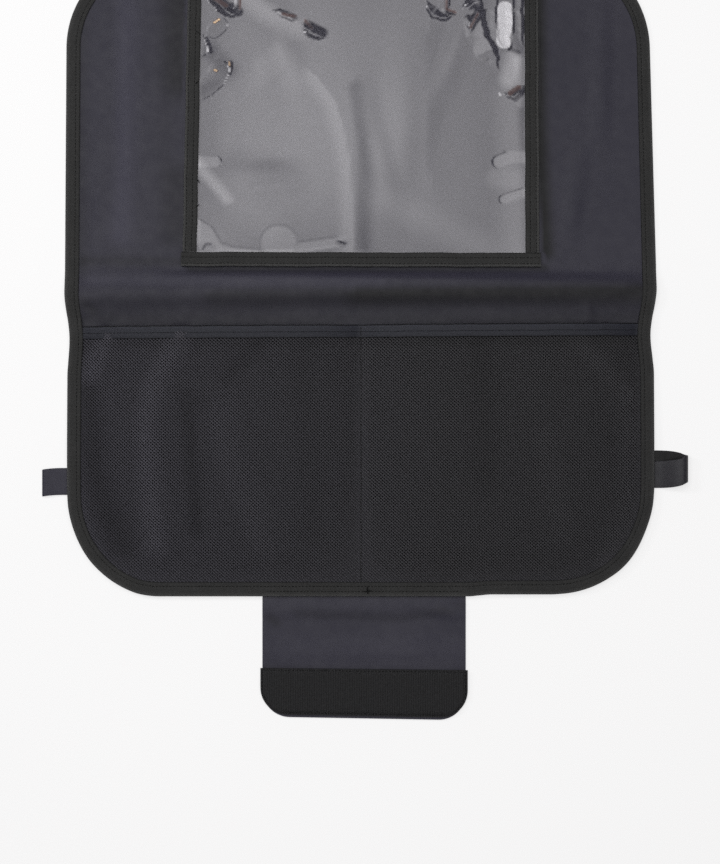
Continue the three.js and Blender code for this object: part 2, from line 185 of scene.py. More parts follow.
# Back panel: one piece of coated cloth with round corners, the base of the whole mat.
# It lies flat but for the fold between pocket and window, where the taut hem draws it in,
# and for slow waves in the free cloth beside the window.
EASE = 0.25
TAPE_THICKNESS = 0.5
STRAP_THICKNESS = 0.8
PANEL_THICKNESS = 1.2
PANEL_BOTTOM = TAPE_THICKNESS + EASE
PANEL_TOP = PANEL_BOTTOM + PANEL_THICKNESS
MAT_LENGTH = round((panel_high.y - panel_low.y) / MM)
MAT_WIDTH = 460
HALF_WIDTH = MAT_WIDTH / 2
CORNER_RADIUS = 73
BINDING_LAP = 10.4
HEM_TOP, HEM_WIDTH, HEM_TILT = 210.6, 10, 1.5
HEM_BOTTOM = HEM_TOP - HEM_WIDTH
FOLD_WIDTH, FOLD_HEIGHT = 46, 4
FRAME_FOOT = HEM_TOP + FOLD_WIDTH
HEM_PULL, HEM_PULL_REACH, HEM_PULL_AT = {-1: 3.9, 1: 5.5}, 34, HEM_BOTTOM + 4
TOP_DRAW_IN = {-1: 1.6, 1: 6.8}
UPPER_DRAW_IN = {-1: 0.1, 1: 0.85}
CORNER_DRAW_IN = {-1: 1.8, 1: 3.1}
CORNER_DRAWN_AT, CORNER_DRAW_REACH = 43, 45
LOW_DRAW_IN = {-1: 2.0, 1: 2.5}
FOOT_DRAW_IN = ((-1, 175, 205, 2.2), (1, 85, 100, 1.5), (1, 150, 195, 3))
FOOT_REACH = 75
ROOT_STACK = 2 * STRAP_THICKNESS + EASE
ROOT_LIFT = ROOT_STACK + EASE
LIFT_START, LIFT_END = 119, 172.7
# Shares of the cloth's colour up the pattern, in millimetres: painted shade under the net's mouth
# and on the fold's lower flank.
PANEL_SHADE_TONES = ((120, 1), (170, 0.67), (231, 0.67), (238, 0.88), (243, 1))
TONES_LENGTH = 250
CLOTH_COLOURS = ((0.0245, 0.0235, 0.0375), (0.031, 0.0295, 0.0445))
WEAVE_PITCH = 0.62
SHARP_FROM = 50


def ramp(start, end, value):
    """0 before start, 1 after end, and even between them."""
    return np.clip((value - start) / (end - start), 0, 1)


def bump(centre, reach, value):
    """1 at the centre, falling as a squared cosine to 0 one reach away."""
    share = np.minimum(1, np.abs(value - centre) / reach)
    return np.cos(share * np.pi / 2) ** 2


def wander(distance, wavelength, seed):
    """An unsteady wave from about -1 to 1: three sines of unlike lengths, seeded phases."""
    phases = np.random.default_rng(seed).uniform(0, 2 * np.pi, 3)
    turns = 2 * np.pi * np.asarray(distance) / wavelength
    return (
        np.sin(turns + phases[0])
        + 0.7 * np.sin(turns * 1.73 + phases[1])
        + 0.5 * np.sin(turns * 2.91 + phases[2])
    ) / 2.2


def draw_in(side, v):
    """How far a side edge lies inside the cut width at v: most beside the taut hem.

    An even draw grows from the hem up and another from it down. A bump is added at the
    lower corner, and one at the hem.
    """
    above = TOP_DRAW_IN[side] * ramp(FRAME_FOOT, MAT_LENGTH, v)
    above = above + UPPER_DRAW_IN[side] * ramp(HEM_TOP, HEM_TOP + 2 * HEM_WIDTH, v)
    below = LOW_DRAW_IN[side] * ramp(HEM_TOP + HEM_WIDTH, HEM_TOP - 3 * HEM_WIDTH, v)
    below = below + CORNER_DRAW_IN[side] * bump(CORNER_DRAWN_AT, CORNER_DRAW_REACH, v)
    pull = (HEM_PULL[side] - LOW_DRAW_IN[side] / 2) * bump(HEM_PULL_AT, HEM_PULL_REACH, v)
    return above + below + pull


def foot_in(x, v):
    """How far up a place near the foot is drawn: the corners are rounder than they were cut.

    Ramps along the foot are summed, and fade evenly on the way up.
    """
    drawn = sum(amount * ramp(start, end, side * x) for side, start, end, amount in FOOT_DRAW_IN)
    return drawn * ramp(FOOT_REACH, 0, v)


def rise(v):
    """The cloth's height at v: over the straps' and tab's roots, flat, then over the fold."""
    roots = ROOT_LIFT * (1 - ramp(LIFT_START, LIFT_END, v))
    return roots + FOLD_HEIGHT * bump(HEM_TOP + FOLD_WIDTH / 2, FOLD_WIDTH / 2, v)


def lay(x, v, z):
    """Pattern points as the laid cloth has them, in metres in the frame.

    The sides are drawn in, and the middle hardly: by the square of the way out.
    """
    x, v, z = np.broadcast_arrays(x, v, z)
    inward = np.where(x < 0, draw_in(-1, v), draw_in(1, v))
    tilt = HEM_TILT * x / HALF_WIDTH * bump(HEM_TOP, 2 * FOLD_WIDTH, v)
    narrowed = x * (1 - inward / HALF_WIDTH * (x / HALF_WIDTH) ** 2)
    laid = np.stack([narrowed, v + tilt + foot_in(x, v), z + rise(v)], axis=-1)
    return laid * MM + np.array([ORIGIN_X, ORIGIN_Y, 0])


def outline_half(v, inset=0):
    """Half the width of the mat's outline at v, the outline moved inwards by inset.

    The sides are straight. At a corner the width follows a circle: the root of the
    radius squared less the squared height left to the corner's start.
    """
    radius = CORNER_RADIUS - inset
    to_edge = np.minimum(v, MAT_LENGTH - v) - inset
    rest = radius - np.clip(to_edge, 0, radius)
    return HALF_WIDTH - CORNER_RADIUS + np.sqrt(np.maximum(0, radius**2 - rest**2))


def double_sheets(front, back, u, v, ring=False):
    """Closed skins over pairs of grids front[sheet, row, column] and back[sheet, row, column].

    Each row is a loop, out along the front and home along the back. A ring's last row
    joins its first. u and v are the map of the front, with one more row on a ring.
    The faces are turned over if the volume inside them comes out negative.
    """
    sheets, rows, columns = front.shape[:3]
    width = 2 * columns
    points = np.concatenate([front, back[:, :, ::-1]], axis=2).reshape(sheets, -1, 3)
    flat = np.stack(np.broadcast_arrays(u, v), axis=-1)
    flat = np.broadcast_to(flat, (sheets, rows + ring, columns, 2))
    flat = np.concatenate([flat, flat[:, :, ::-1]], axis=2)
    steps = rows if ring else rows - 1
    j, i = np.meshgrid(np.arange(steps), np.arange(width), indexing="ij")
    corners = [(j, i), (j + 1, i), (j + 1, i + 1), (j, i + 1)]
    quads = np.stack([(a % rows) * width + b % width for a, b in corners], axis=-1)
    quad_map = np.stack([flat[:, a, b % width] for a, b in corners], axis=-2)
    quads = quads.reshape(-1, 4)
    quad_map = quad_map.reshape(sheets, -1, 4, 2)
    if not ring:
        k = np.arange(columns - 1)
        end = np.stack([k, k + 1, width - 2 - k, width - 1 - k], axis=-1)
        tops = end[:, ::-1] + (rows - 1) * width
        quads = np.concatenate([quads, end, tops])
        end_map = np.stack([flat[:, 0, n] for n in end.T], axis=-2)
        top_map = np.stack([flat[:, -1, n] for n in end[:, ::-1].T], axis=-2)
        quad_map = np.concatenate([quad_map, end_map, top_map], axis=1)
    a, b, c, d = (points[0][quads[:, n]] for n in range(4))
    volume = np.sum(a * (np.cross(b, c) + np.cross(c, d)))
    if volume < 0:
        quads = quads[:, ::-1]
        quad_map = quad_map[:, :, ::-1]
    offsets = np.arange(sheets)[:, None, None] * rows * width
    return points.reshape(-1, 3), (quads + offsets).reshape(-1, 4), quad_map.reshape(-1, 2)


def sheet_skin(place, x, v, top, bottom):
    """The closed skin of one sheet over its pattern, from its upper and lower heights."""
    return double_sheets(place(x, v, top)[None], place(x, v, bottom)[None], x * MM, v * MM)


def add_piece(name, skin, material, replaces=()):
    """A piece from its points, quads and map, which rides on the mat."""
    points, quads, quad_map = skin
    mesh = bpy.data.meshes.new(name)
    mesh.vertices.add(len(points))
    mesh.vertices.foreach_set("co", points.ravel())
    mesh.loops.add(quads.size)
    mesh.loops.foreach_set("vertex_index", quads.ravel().astype(np.int32))
    mesh.polygons.add(len(quads))
    mesh.polygons.foreach_set("loop_start", np.arange(0, quads.size, 4, dtype=np.int32))
    mesh.update(calc_edges=True)
    mesh.uv_layers.new(name="cloth").data.foreach_set("uv", quad_map.ravel())
    mesh.shade_smooth()
    mesh.set_sharp_from_angle(angle=math.radians(SHARP_FROM))
    mesh.materials.append(material)
    piece = bpy.data.objects.new(name, mesh)
    bpy.context.collection.objects.link(piece)
    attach(piece, "root")
    if replaces:
        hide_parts(*replaces)
    return piece


def join_skins(skins):
    """Several skins as one, with their points numbered on."""
    counts = np.cumsum([0] + [len(points) for points, _, _ in skins])
    points = np.concatenate([skin[0] for skin in skins])
    quads = np.concatenate([skin[1] + count for skin, count in zip(skins, counts)])
    return points, quads, np.concatenate([skin[2] for skin in skins])


def new_material(name, roughness, specular):
    """A material with a plain shader, its node tree and its shader node."""
    material = bpy.data.materials.new(name)
    material.use_nodes = True
    shader = material.node_tree.nodes["Principled BSDF"]
    shader.inputs["Roughness"].default_value = roughness
    shader.inputs["Specular IOR Level"].default_value = specular
    return material, material.node_tree, shader


def stripes(tree, vector, axis, pitch):
    """A sine wave from 0 to 1 across stripes of a pitch in millimetres."""
    wave = add_node(
        tree,
        "ShaderNodeTexWave",
        {"Vector": vector, "Scale": math.pi / 10 / (pitch * MM)},
        wave_type="BANDS",
        bands_direction=axis,
        wave_profile="SIN",
    )
    return wave.outputs["Fac"]


def noise(tree, vector, size, detail=2):
    """Soft noise from 0 to 1 with lumps of a size in millimetres."""
    node = add_node(
        tree,
        "ShaderNodeTexNoise",
        {"Vector": vector, "Scale": 1 / (size * MM), "Detail": detail},
    )
    return node.outputs["Fac"]


def blend(tree, kind, first, second, share=1.0):
    """Two greys or colours combined by a kind of mix."""
    node = add_node(tree, "ShaderNodeMix", data_type="RGBA", blend_type=kind)
    for name, value in (("Factor", share), ("A", first), ("B", second)):
        socket = next(s for s in node.inputs if s.name == name and s.enabled)
        if isinstance(value, bpy.types.NodeSocket):
            tree.links.new(value, socket)
        elif name == "Factor":
            socket.default_value = value
        else:
            socket.default_value = (*value, 1)
    return next(s for s in node.outputs if s.enabled)


def relief(tree, shader, height, depth):
    """Makes a grey pattern the surface's fine relief, with a depth in millimetres."""
    node = add_node(tree, "ShaderNodeBump", {"Height": height, "Distance": depth * MM})
    tree.links.new(node.outputs["Normal"], shader.inputs["Normal"])


def from_path(x, v, path):
    """How far each place is from a bent line of pixels, and the share along it.

    The nearest point of each straight part is found, and the nearest part counts. The
    distance is positive to the left of the way along the line.
    """
    points = np.array([from_photo(*pixel) for pixel in path])
    steps = np.diff(points, axis=0)
    lengths = np.hypot(steps[:, 0], steps[:, 1])
    begun = np.concatenate([[0], np.cumsum(lengths)])
    across = np.full(np.broadcast(x, v).shape, 1e6)
    along = np.zeros_like(across)
    for start, step, length, before in zip(points, steps, lengths, begun):
        from_x, from_v = x - start[0], v - start[1]
        share = np.clip((from_x * step[0] + from_v * step[1]) / length**2, 0, 1)
        off_x, off_v = from_x - share * step[0], from_v - share * step[1]
        distance = np.hypot(off_x, off_v)
        side = np.where(step[0] * off_v - step[1] * off_x < 0, -1, 1)
        closer = distance < np.abs(across)
        across = np.where(closer, side * distance, across)
        along = np.where(closer, before + share * length, along)
    return across, along / begun[-1]


def banded(x, v, bands):
    """Soft bands: a summed bump across each band's bent line, with a reach on each side."""
    total = 0
    for band in bands:
        across = from_path(x, v, band["path"])[0]
        reach = np.where(across > 0, *band["reach"])
        total = total + band["share"] * bump(0, 1, across / reach)
    return total


def keep_painted_light(piece, bands):
    """Keeps on each point of a piece the share by which the bands of painted light and shade
    lighten or darken it.
    """
    points = np.empty(3 * len(piece.data.vertices), dtype=np.float32)
    piece.data.vertices.foreach_get("co", points)
    places = points.reshape(-1, 3) / MM - np.array([ORIGIN_X, ORIGIN_Y, 0]) / MM
    layer = piece.data.attributes.new("bands", "FLOAT", "POINT")
    layer.data.foreach_set("value", banded(places[:, 0], places[:, 1], bands))


def painted_light_tone(tree):
    """The painted light and shade that the bands give: 1 plus the share kept on the points."""
    share = add_node(tree, "ShaderNodeAttribute", attribute_name="bands").outputs["Fac"]
    return add_node(tree, "ShaderNodeMath", {0: share, 1: 1.0}, operation="ADD").outputs[0]


def cloth_material(name="coated_cloth", colours=CLOTH_COLOURS, painted_light_tones=PANEL_SHADE_TONES):
    """Coated cloth: a fine plain weave under a smooth coat, with slow shifts of tone.

    The shares of the colour at places up the piece are painted shade. On the panel the cloth
    darkens from 120 mm up, most from 170 to 231 mm: painted shade under the net's mouth and on
    the fold's lower flank, up to the fold's crest. On the right loop's strap they darken the
    lower ply, inside the loop.
    """
    material, tree, shader = new_material(name, 0.45, 0.2)
    place = add_node(tree, "ShaderNodeTexCoord").outputs["Object"]
    slow = noise(tree, place, 60, 3)
    tone = colour_ramp(tree, slow, [(0.3, colours[0]), (0.7, colours[1])])
    warp = stripes(tree, place, "X", WEAVE_PITCH)
    weft = stripes(tree, place, "Y", WEAVE_PITCH)
    weave = blend(tree, "MULTIPLY", warp, weft)
    grain = noise(tree, place, 0.5, 3)
    surface = blend(tree, "MIX", weave, grain, 0.45)
    shaded = blend(tree, "MULTIPLY", tone, colour_ramp(tree, surface, [(0, 0.86), (1, 1)]))
    cloth = add_node(tree, "ShaderNodeTexCoord").outputs["UV"]
    up = add_node(tree, "ShaderNodeSeparateXYZ", {"Vector": cloth}).outputs["Y"]
    # Painted shade up the piece.
    span = {"Value": up, "From Min": 0.0, "From Max": TONES_LENGTH * MM}
    up = add_node(tree, "ShaderNodeMapRange", span)
    stops = [(place_up / TONES_LENGTH, share) for place_up, share in painted_light_tones]
    shaded = blend(tree, "MULTIPLY", shaded, colour_ramp(tree, up.outputs["Result"], stops))
    # Painted light and shade from the bands kept on the points.
    shaded = blend(tree, "MULTIPLY", shaded, painted_light_tone(tree))
    tree.links.new(shaded, shader.inputs["Base Color"])
    gloss = colour_ramp(tree, noise(tree, place, 8, 4), [(0.3, 0.4), (0.7, 0.5)])
    tree.links.new(gloss, shader.inputs["Roughness"])
    relief(tree, shader, surface, 0.05)
    return material


coated_cloth = cloth_material()
PUCKERS = (
    {"pixel": (104, 318), "lean": 55, "reach": 5, "length": 13, "height": 1.1},
    {"pixel": (182, 318), "lean": 62, "reach": 6, "length": 12, "height": 0.9},
    {"pixel": (262, 300), "lean": 80, "reach": 14, "length": 15, "height": 0.5},
    {"pixel": (590, 314), "lean": 115, "reach": 6, "length": 14, "height": 0.9},
    {"pixel": (86, 306), "lean": 8, "reach": 4, "length": 9, "height": -0.9},
    {"pixel": (360, 278), "lean": -1.2, "reach": 9, "length": 400, "height": 1.7},
    {"pixel": (360, 306), "lean": 0, "reach": 14, "length": 400, "height": -1.7},
)
# Painted light and shade on the panel: a sheen highlight down its left side, shadows beside the
# binding, beside the window's side tapes and under its foot tape, the fold's lit crest, and shade
# on the fold's lower flank and above the hem.
PANEL_LIGHT_AND_SHADE = (
    {"path": ((127, -20), (125, 160), (120, 235)), "reach": (17, 14), "share": 0.42},
    {"path": ((80, -20), (80, 270)), "reach": (12, 4), "share": -0.3},
    {"path": ((168, -20), (165, 240)), "reach": (16, 15), "share": -0.14},
    {"path": ((184, -20), (183, 80)), "reach": (2, 26), "share": -0.62},
    {"path": ((183, 180), (183, 232)), "reach": (2, 24), "share": -0.42},
    {"path": ((537, -20), (538, 110), (542, 200), (545, 252)), "reach": (12, 3), "share": -0.95},
    {"path": ((646, -20), (648, 300)), "reach": (2, 8), "share": -0.12},
    {"path": ((84, 261), (184, 262)), "reach": (7, 7), "share": -0.36},
    {"path": ((190, 269), (545, 268)), "reach": (5, 5), "share": -0.62},
    {"path": ((90, 280), (380, 281)), "reach": (6, 8), "share": 0.22},
    {"path": ((215, 294), (640, 291)), "reach": (6, 16), "share": -0.4},
    {"path": ((360, 293), (640, 288)), "reach": (9, 20), "share": -0.42},
    {"path": ((84, 320), (650, 318)), "reach": (7, 8), "share": -0.2},
    {"path": ((84, 303), (94, 311)), "reach": (6, 6), "share": -0.3},
)
SIDE_WAVES = (
    {"pixel": (126, 120), "lean": 92, "reach": 11, "length": 120, "height": 1.1},
    {"pixel": (604, 80), "lean": 88, "reach": 12, "length": 100, "height": 0.9},
    {"pixel": (576, 195), "lean": 80, "reach": 12, "length": 60, "height": 0.9},
    {"pixel": (98, 200), "lean": 84, "reach": 15, "length": 60, "height": 0.7},
)
BINDING_FADE, FRAME_FADE = 12, 8
BESIDE_FRAME = (143, 153)


def ridges(x, v, ridge_list):
    """The summed heights of ridges, each a bump across its line and a longer one along it."""
    total = np.zeros(np.broadcast(x, v).shape)
    for ridge in ridge_list:
        centre_x, centre_v = from_photo(*ridge["pixel"])
        lean = math.radians(ridge["lean"])
        along = (x - centre_x) * math.cos(lean) + (v - centre_v) * math.sin(lean)
        across = (v - centre_v) * math.cos(lean) - (x - centre_x) * math.sin(lean)
        shape = bump(0, ridge["reach"], across) * bump(0, ridge["length"], along)
        total = total + ridge["height"] * shape
    return total


def panel_waves(x, v):
    """Heights of the free cloth above its flat place: none near the tapes that hold it.

    The summed ridges are multiplied by ramps that start at the binding, frame and hem.
    """
    to_edge = outline_half(v) - np.abs(x)
    free = ramp(BINDING_LAP, BINDING_LAP + BINDING_FADE, to_edge)
    below_frame = ramp(FRAME_FOOT, FRAME_FOOT - FRAME_FADE, v)
    beside_frame = ramp(*BESIDE_FRAME, np.abs(x))
    above_hem = ramp(HEM_TOP - 2, HEM_TOP + 3, v)
    mask = free * above_hem * np.maximum(below_frame, beside_frame)
    return mask * (ridges(x, v, PUCKERS) + ridges(x, v, SIDE_WAVES))


panel_v = np.linspace(0, MAT_LENGTH, 201)[:, None]
panel_share = np.linspace(-1, 1, 181)[None, :]
panel_x = outline_half(panel_v) * panel_share
panel_level = panel_waves(panel_x, panel_v)
panel = add_piece(
    "panel_cloth",
    sheet_skin(lay, panel_x, panel_v, PANEL_TOP + panel_level, PANEL_BOTTOM + panel_level),
    coated_cloth,
    ["back_panel"],
)
keep_painted_light(panel, PANEL_LIGHT_AND_SHADE)


# Edge binding: one ribbed tape folded over the raw edge all round and sewn through.
# Its upper lap climbs over the net, and makes a bump over the ends of the pocket's hem.
NET_THICKNESS = 0.6
HEM_STACK = 2 * TAPE_THICKNESS + NET_THICKNESS + 2 * EASE
TAPE_COLOURS = ((0.0182, 0.0184, 0.0184), (0.0352, 0.0352, 0.0352))
# Shares of the tape's colour across it: painted shade at the inner selvedge and a painted highlight
# on the outer fold.
TAPE_SHADE_AND_HIGHLIGHT = ((0.2, 0.35), (0.9, 1.0), (7.5, 1.0), (9, 1.3), (11, 2.2))
TAPE_SPAN = 14
SELVEDGE_STEP, SELVEDGE_DIP = 0.35, 0.12
STITCH_FROM_EDGE = 3.4
STITCH_GROOVE, GROOVE_HALF = 0.22, 0.7
STITCH_SINK, STITCH_ARCH, THREAD_END = 0.45, 0.55, 0.35
PUFF_HEIGHT, PUFF_WAVES, PUFF_START = 0.12, 34, 20
UNDER_STITCH_LEVEL, THREAD_DROP = 0.42, 0.12
NET_CLIMB_START, NET_CLIMB_END = 172.7, 199.6


def painted_light_across_tape(tree, cloth, painted_light_tones):
    """Painted light and shade at places across a tape, in millimetres from its inner selvedge."""
    across = add_node(tree, "ShaderNodeSeparateXYZ", {"Vector": cloth}).outputs["X"]
    span = {"Value": across, "From Min": 0.0, "From Max": TAPE_SPAN * MM}
    share = add_node(tree, "ShaderNodeMapRange", span).outputs["Result"]
    return colour_ramp(tree, share, [(at / TAPE_SPAN, tone) for at, tone in painted_light_tones])


def tape_material():
    """Ribbed tape: even ribs, darker between them, with a fuzz, slow worn patches, painted shade at
    its inner selvedge and a painted highlight on its outer fold.
    """
    material, tree, shader = new_material("ribbed_tape", 0.75, 0.2)
    cloth = add_node(tree, "ShaderNodeTexCoord").outputs["UV"]
    place = add_node(tree, "ShaderNodeTexCoord").outputs["Object"]
    ribs = stripes(tree, cloth, "Y", 0.95)
    threads = stripes(tree, cloth, "X", 0.4)
    fuzz = noise(tree, place, 0.7, 4)
    surface = blend(tree, "MIX", blend(tree, "MIX", ribs, threads, 0.25), fuzz, 0.35)
    tone = colour_ramp(tree, surface, [(0.2, TAPE_COLOURS[0]), (0.75, TAPE_COLOURS[1])])
    worn = colour_ramp(tree, noise(tree, place, 14, 3), [(0.35, 0.86), (0.7, 1.0)])
    tone = blend(tree, "MULTIPLY", tone, worn)
    # Painted shade and a painted highlight across the tape.
    tone = blend(tree, "MULTIPLY", tone, painted_light_across_tape(tree, cloth, TAPE_SHADE_AND_HIGHLIGHT))
    tree.links.new(tone, shader.inputs["Base Color"])
    relief(tree, shader, surface, 0.12)
    return material


def thread_material():
    """Sewing thread: twisted plies that show as fine slanted lines."""
    material, tree, shader = new_material("sewing_thread", 0.6, 0.15)
    cloth = add_node(tree, "ShaderNodeTexCoord").outputs["UV"]
    twist = stripes(tree, cloth, "DIAGONAL", 0.35)
    tone = colour_ramp(tree, twist, [(0.1, 0.003), (0.8, 0.009)])
    tree.links.new(tone, shader.inputs["Base Color"])
    relief(tree, shader, twist, 0.05)
    return material


ribbed_tape = tape_material()
sewing_thread = thread_material()


def folded_profile(lap, grooves):
    """The flat U of a folded tape: places outwards, and heights off its two levels.

    Each point gives its place outwards for the outer and inner line, its share of the
    way from the lower to the upper level, and how far it is sunk into the tape.
    """
    beside = (-GROOVE_HALF, 0, GROOVE_HALF)
    marks = sorted({0, SELVEDGE_STEP, lap / 2} | {g + d for g in grooves for d in beside})
    sunk = [STITCH_GROOVE if m in grooves else SELVEDGE_DIP if m == 0 else 0 for m in marks]
    turns = np.linspace(math.pi / 2, -math.pi / 2, 9)
    flat_out = np.array(marks) - lap
    outer = [*flat_out, *((EASE + TAPE_THICKNESS) * np.cos(turns)), *flat_out[::-1]]
    inner = [*flat_out, *(EASE * np.cos(turns)), *flat_out[::-1]]
    level = [*np.ones(len(marks)), *((1 + np.sin(turns)) / 2), *np.zeros(len(marks))]
    sink = [*sunk, *np.zeros(len(turns)), *(-np.array(sunk[::-1]))]
    return (np.array(values) for values in (outer, inner, level, sink))


def folded_tape(x, v, out_x, out_v, low, high, lap, grooves, place, length, ring=False):
    """A tape folded over an edge, carried along stations given as arrays."""
    outer, inner, level, sink = folded_profile(lap, grooves)
    x, v, out_x, out_v, low, high = (n[:, None] for n in (x, v, out_x, out_v, low, high))
    outer_z = low + (high - low) * level - sink
    inner_z = low + TAPE_THICKNESS + (high - low - 2 * TAPE_THICKNESS) * level
    front = place(x + out_x * outer, v + out_v * outer, outer_z)
    back = place(x + out_x * inner, v + out_v * inner, inner_z)
    reach = np.concatenate([[0], np.cumsum(np.hypot(np.diff(outer), np.diff(level)))])
    return double_sheets(front[None], back[None], reach * MM, length[:, None] * MM, ring=ring)


def stitch_row(line, normal, pitch, thread=0.42, share=0.78, seed=0):
    """Stitches along a line of points in metres: short arched strokes with sunk ends.

    Each stitch is a four-sided tube of five rings round the line's own course. The
    middle stands highest, and the ends dip and thin. normal points out of the cloth.
    """
    steps = np.linalg.norm(np.diff(line, axis=0), axis=1)
    travel = np.concatenate([[0], np.cumsum(steps)])
    count = max(1, int(travel[-1] / (pitch * MM)))
    middles = (np.arange(count) + 0.5) * travel[-1] / count
    jitter = np.random.default_rng(seed).normal(0, 0.04, (count, 1))
    t = np.linspace(-1, 1, 5)[None, :]
    at = middles[:, None] + (t * share / 2 + jitter) * pitch * MM
    centre = np.stack([np.interp(at, travel, line[:, k]) for k in range(3)], axis=-1)
    tangent = centre[:, -1:] - centre[:, :1]
    tangent /= np.linalg.norm(tangent, axis=-1, keepdims=True)
    normal = np.broadcast_to(np.asarray(normal, float), centre.shape)
    sideways = np.cross(tangent, normal)
    up = np.sqrt(np.maximum(0, 1 - t**2)) - STITCH_SINK
    arch = up[..., None] * thread * STITCH_ARCH * MM
    fullness = THREAD_END + (1 - THREAD_END) * np.sqrt(1 - t**4)
    radius = (thread / 2 * MM * fullness)[..., None]
    centre = centre + normal * arch
    front = np.stack([centre + sideways * radius, centre + normal * radius], axis=2)
    back = np.stack([centre - normal * radius, centre - sideways * radius], axis=2)
    return double_sheets(front, back, np.array([0, 0.6 * MM]), at[..., None])


def binding_top(v):
    """The upper lap's height at v: over panel alone, over the net, or over the hem too."""
    plain = PANEL_TOP + EASE + TAPE_THICKNESS
    over_net = NET_THICKNESS + EASE
    over_hem = HEM_STACK + EASE
    climb = ramp(NET_CLIMB_START, NET_CLIMB_END, v)
    drop = ramp(HEM_TOP + 1, HEM_TOP + 1 + HEM_WIDTH, v)
    return plain + (over_net + (over_hem - over_net) * climb) * (1 - drop)


def outline_stations(spacing):
    """The mat's outline as stations run anticlockwise: places and the way outwards."""
    straight_x = HALF_WIDTH - CORNER_RADIUS
    straight_v = MAT_LENGTH - 2 * CORNER_RADIUS
    quarter = math.pi / 2 * CORNER_RADIUS
    turns = np.linspace(0, math.pi / 2, round(quarter / spacing), endpoint=False)
    stations = []
    corners = [(1, 0), (1, 1), (-1, 1), (-1, 0)]
    for k, (side, upper) in enumerate(corners):
        angle = turns + (k - 1) * math.pi / 2
        centre_v = MAT_LENGTH - CORNER_RADIUS if upper else CORNER_RADIUS
        out = np.stack([np.cos(angle), np.sin(angle)], axis=-1)
        centre = np.array([side * straight_x, centre_v])
        stations.append(np.concatenate([centre + CORNER_RADIUS * out, out], axis=1))
        run = straight_v if k % 2 == 0 else 2 * straight_x
        end = k * math.pi / 2
        out = np.array([math.cos(end), math.sin(end)])
        forward = np.array([-out[1], out[0]])
        share = np.linspace(0, run, round(run / spacing), endpoint=False)[:, None]
        place = centre + CORNER_RADIUS * out + forward * share
        stations.append(np.concatenate([place, np.broadcast_to(out, place.shape)], axis=1))
    return np.concatenate(stations).T


edge_x, edge_v, edge_out_x, edge_out_v = outline_stations(2)
edge_steps = np.hypot(np.diff(edge_x, append=edge_x[0]), np.diff(edge_v, append=edge_v[0]))
edge_length = np.concatenate([[0], np.cumsum(edge_steps)])
edge_wave = wander(edge_length[:-1], edge_length[-1] / PUFF_WAVES, 5)
from_join = np.minimum(edge_length[:-1], edge_length[-1] - edge_length[:-1])
edge_puff = PUFF_HEIGHT * edge_wave * np.minimum(1, from_join / PUFF_START)
binding_skin = folded_tape(
    edge_x,
    edge_v,
    edge_out_x,
    edge_out_v,
    np.zeros_like(edge_x),
    binding_top(edge_v) + edge_puff,
    BINDING_LAP,
    [STITCH_FROM_EDGE],
    lay,
    edge_length,
    ring=True,
)
add_piece("binding_tape", binding_skin, ribbed_tape, ["edge_binding"])


def closed(line):
    """A line of points with its first point again at the end."""
    return np.concatenate([line, line[:1]])


stitch_out = STITCH_FROM_EDGE - BINDING_LAP
stitch_x = edge_x + edge_out_x * stitch_out
stitch_v = edge_v + edge_out_v * stitch_out
upper_line = lay(stitch_x, stitch_v, binding_top(stitch_v) + edge_puff - THREAD_DROP)
lower_line = lay(stitch_x, stitch_v, UNDER_STITCH_LEVEL)
add_piece(
    "binding_stitches",
    join_skins(
        [
            stitch_row(closed(upper_line), (0, 0, 1), 2.7, seed=1),
            stitch_row(closed(lower_line), (0, 0, -1), 2.7, seed=2),
        ]
    ),
    sewing_thread,
)


# Net pocket: one piece of fine net for both pockets, held under the binding at its sides
# and foot and sewn down along the middle. Two layers of straight yarns cross aslant.
NET_BOTTOM = PANEL_TOP + EASE
NET_INSET = 3
NET_BULGE = 8
NET_FOOT = BINDING_LAP + 1
NET_HEAD = HEM_BOTTOM - 1
NET_PITCH, YARN_SLOPE = 2.54, 0.91
YARN_WIDTH, YARN_THICKNESS = 1.08, 0.3
YARN_LEVELS = (0.17, 0.43)
YARN_PARTS, YARN_PROBES, FEWEST_PROBES = 42, 800, 6
SEAM_HALF = 2
# The yarn's colours at its edge, flank and middle hold painted shade that makes a flat yarn look
# round. The net darkens towards its right as painted shade.
YARN_COLOURS_AND_SHADE = ((0.002, 0.002, 0.0022), (0.027, 0.0265, 0.029), (0.155, 0.152, 0.165))
SIDE_SHADE_TONES = ((-0.2, (0.67, 0.66, 0.75)), (0.06, (0.54, 0.54, 0.55)))
BAND_HEIGHT = 3
# Bent lines of the net's drape: they raise the net, and they lighten or darken it as painted light
# and shade, with painted shadow just under the hem.
NET_DRAPE_AND_SHADE_BANDS = (
    {"path": ((106, 338), (90, 376)), "reach": (12, 12), "share": 0.42},
    {
        "path": ((180, 338), (154, 384), (146, 420), (152, 500), (156, 545)),
        "reach": (17, 15),
        "share": 0.42,
    },
    {"path": ((188, 396), (198, 530)), "reach": (10, 10), "share": -0.3},
    {"path": ((258, 345), (205, 402)), "reach": (14, 14), "share": -0.18},
    {"path": ((213, 395), (230, 470), (262, 545)), "reach": (24, 14), "share": 0.2},
    {"path": ((84, 395), (96, 480), (120, 545)), "reach": (22, 20), "share": -0.34},
    {"path": ((304, 350), (312, 530)), "reach": (18, 18), "share": -0.1},
    {"path": ((580, 345), (628, 396)), "reach": (12, 12), "share": 0.22},
    {"path": ((482, 345), (486, 480)), "reach": (18, 18), "share": -0.14},
    {"path": ((545, 440), (562, 535)), "reach": (16, 16), "share": 0.15},
    {"path": ((630, 400), (632, 500), (606, 562)), "reach": (10, 16), "share": 0.25},
    {"path": ((366, 345), (367, 575)), "reach": (5, 5), "share": 0.12},
    {"path": ((78, 344), (335, 342)), "reach": (7, 7), "share": -0.16},
    {"path": ((350, 341), (645, 341)), "reach": (7, 7), "share": -0.22},
)


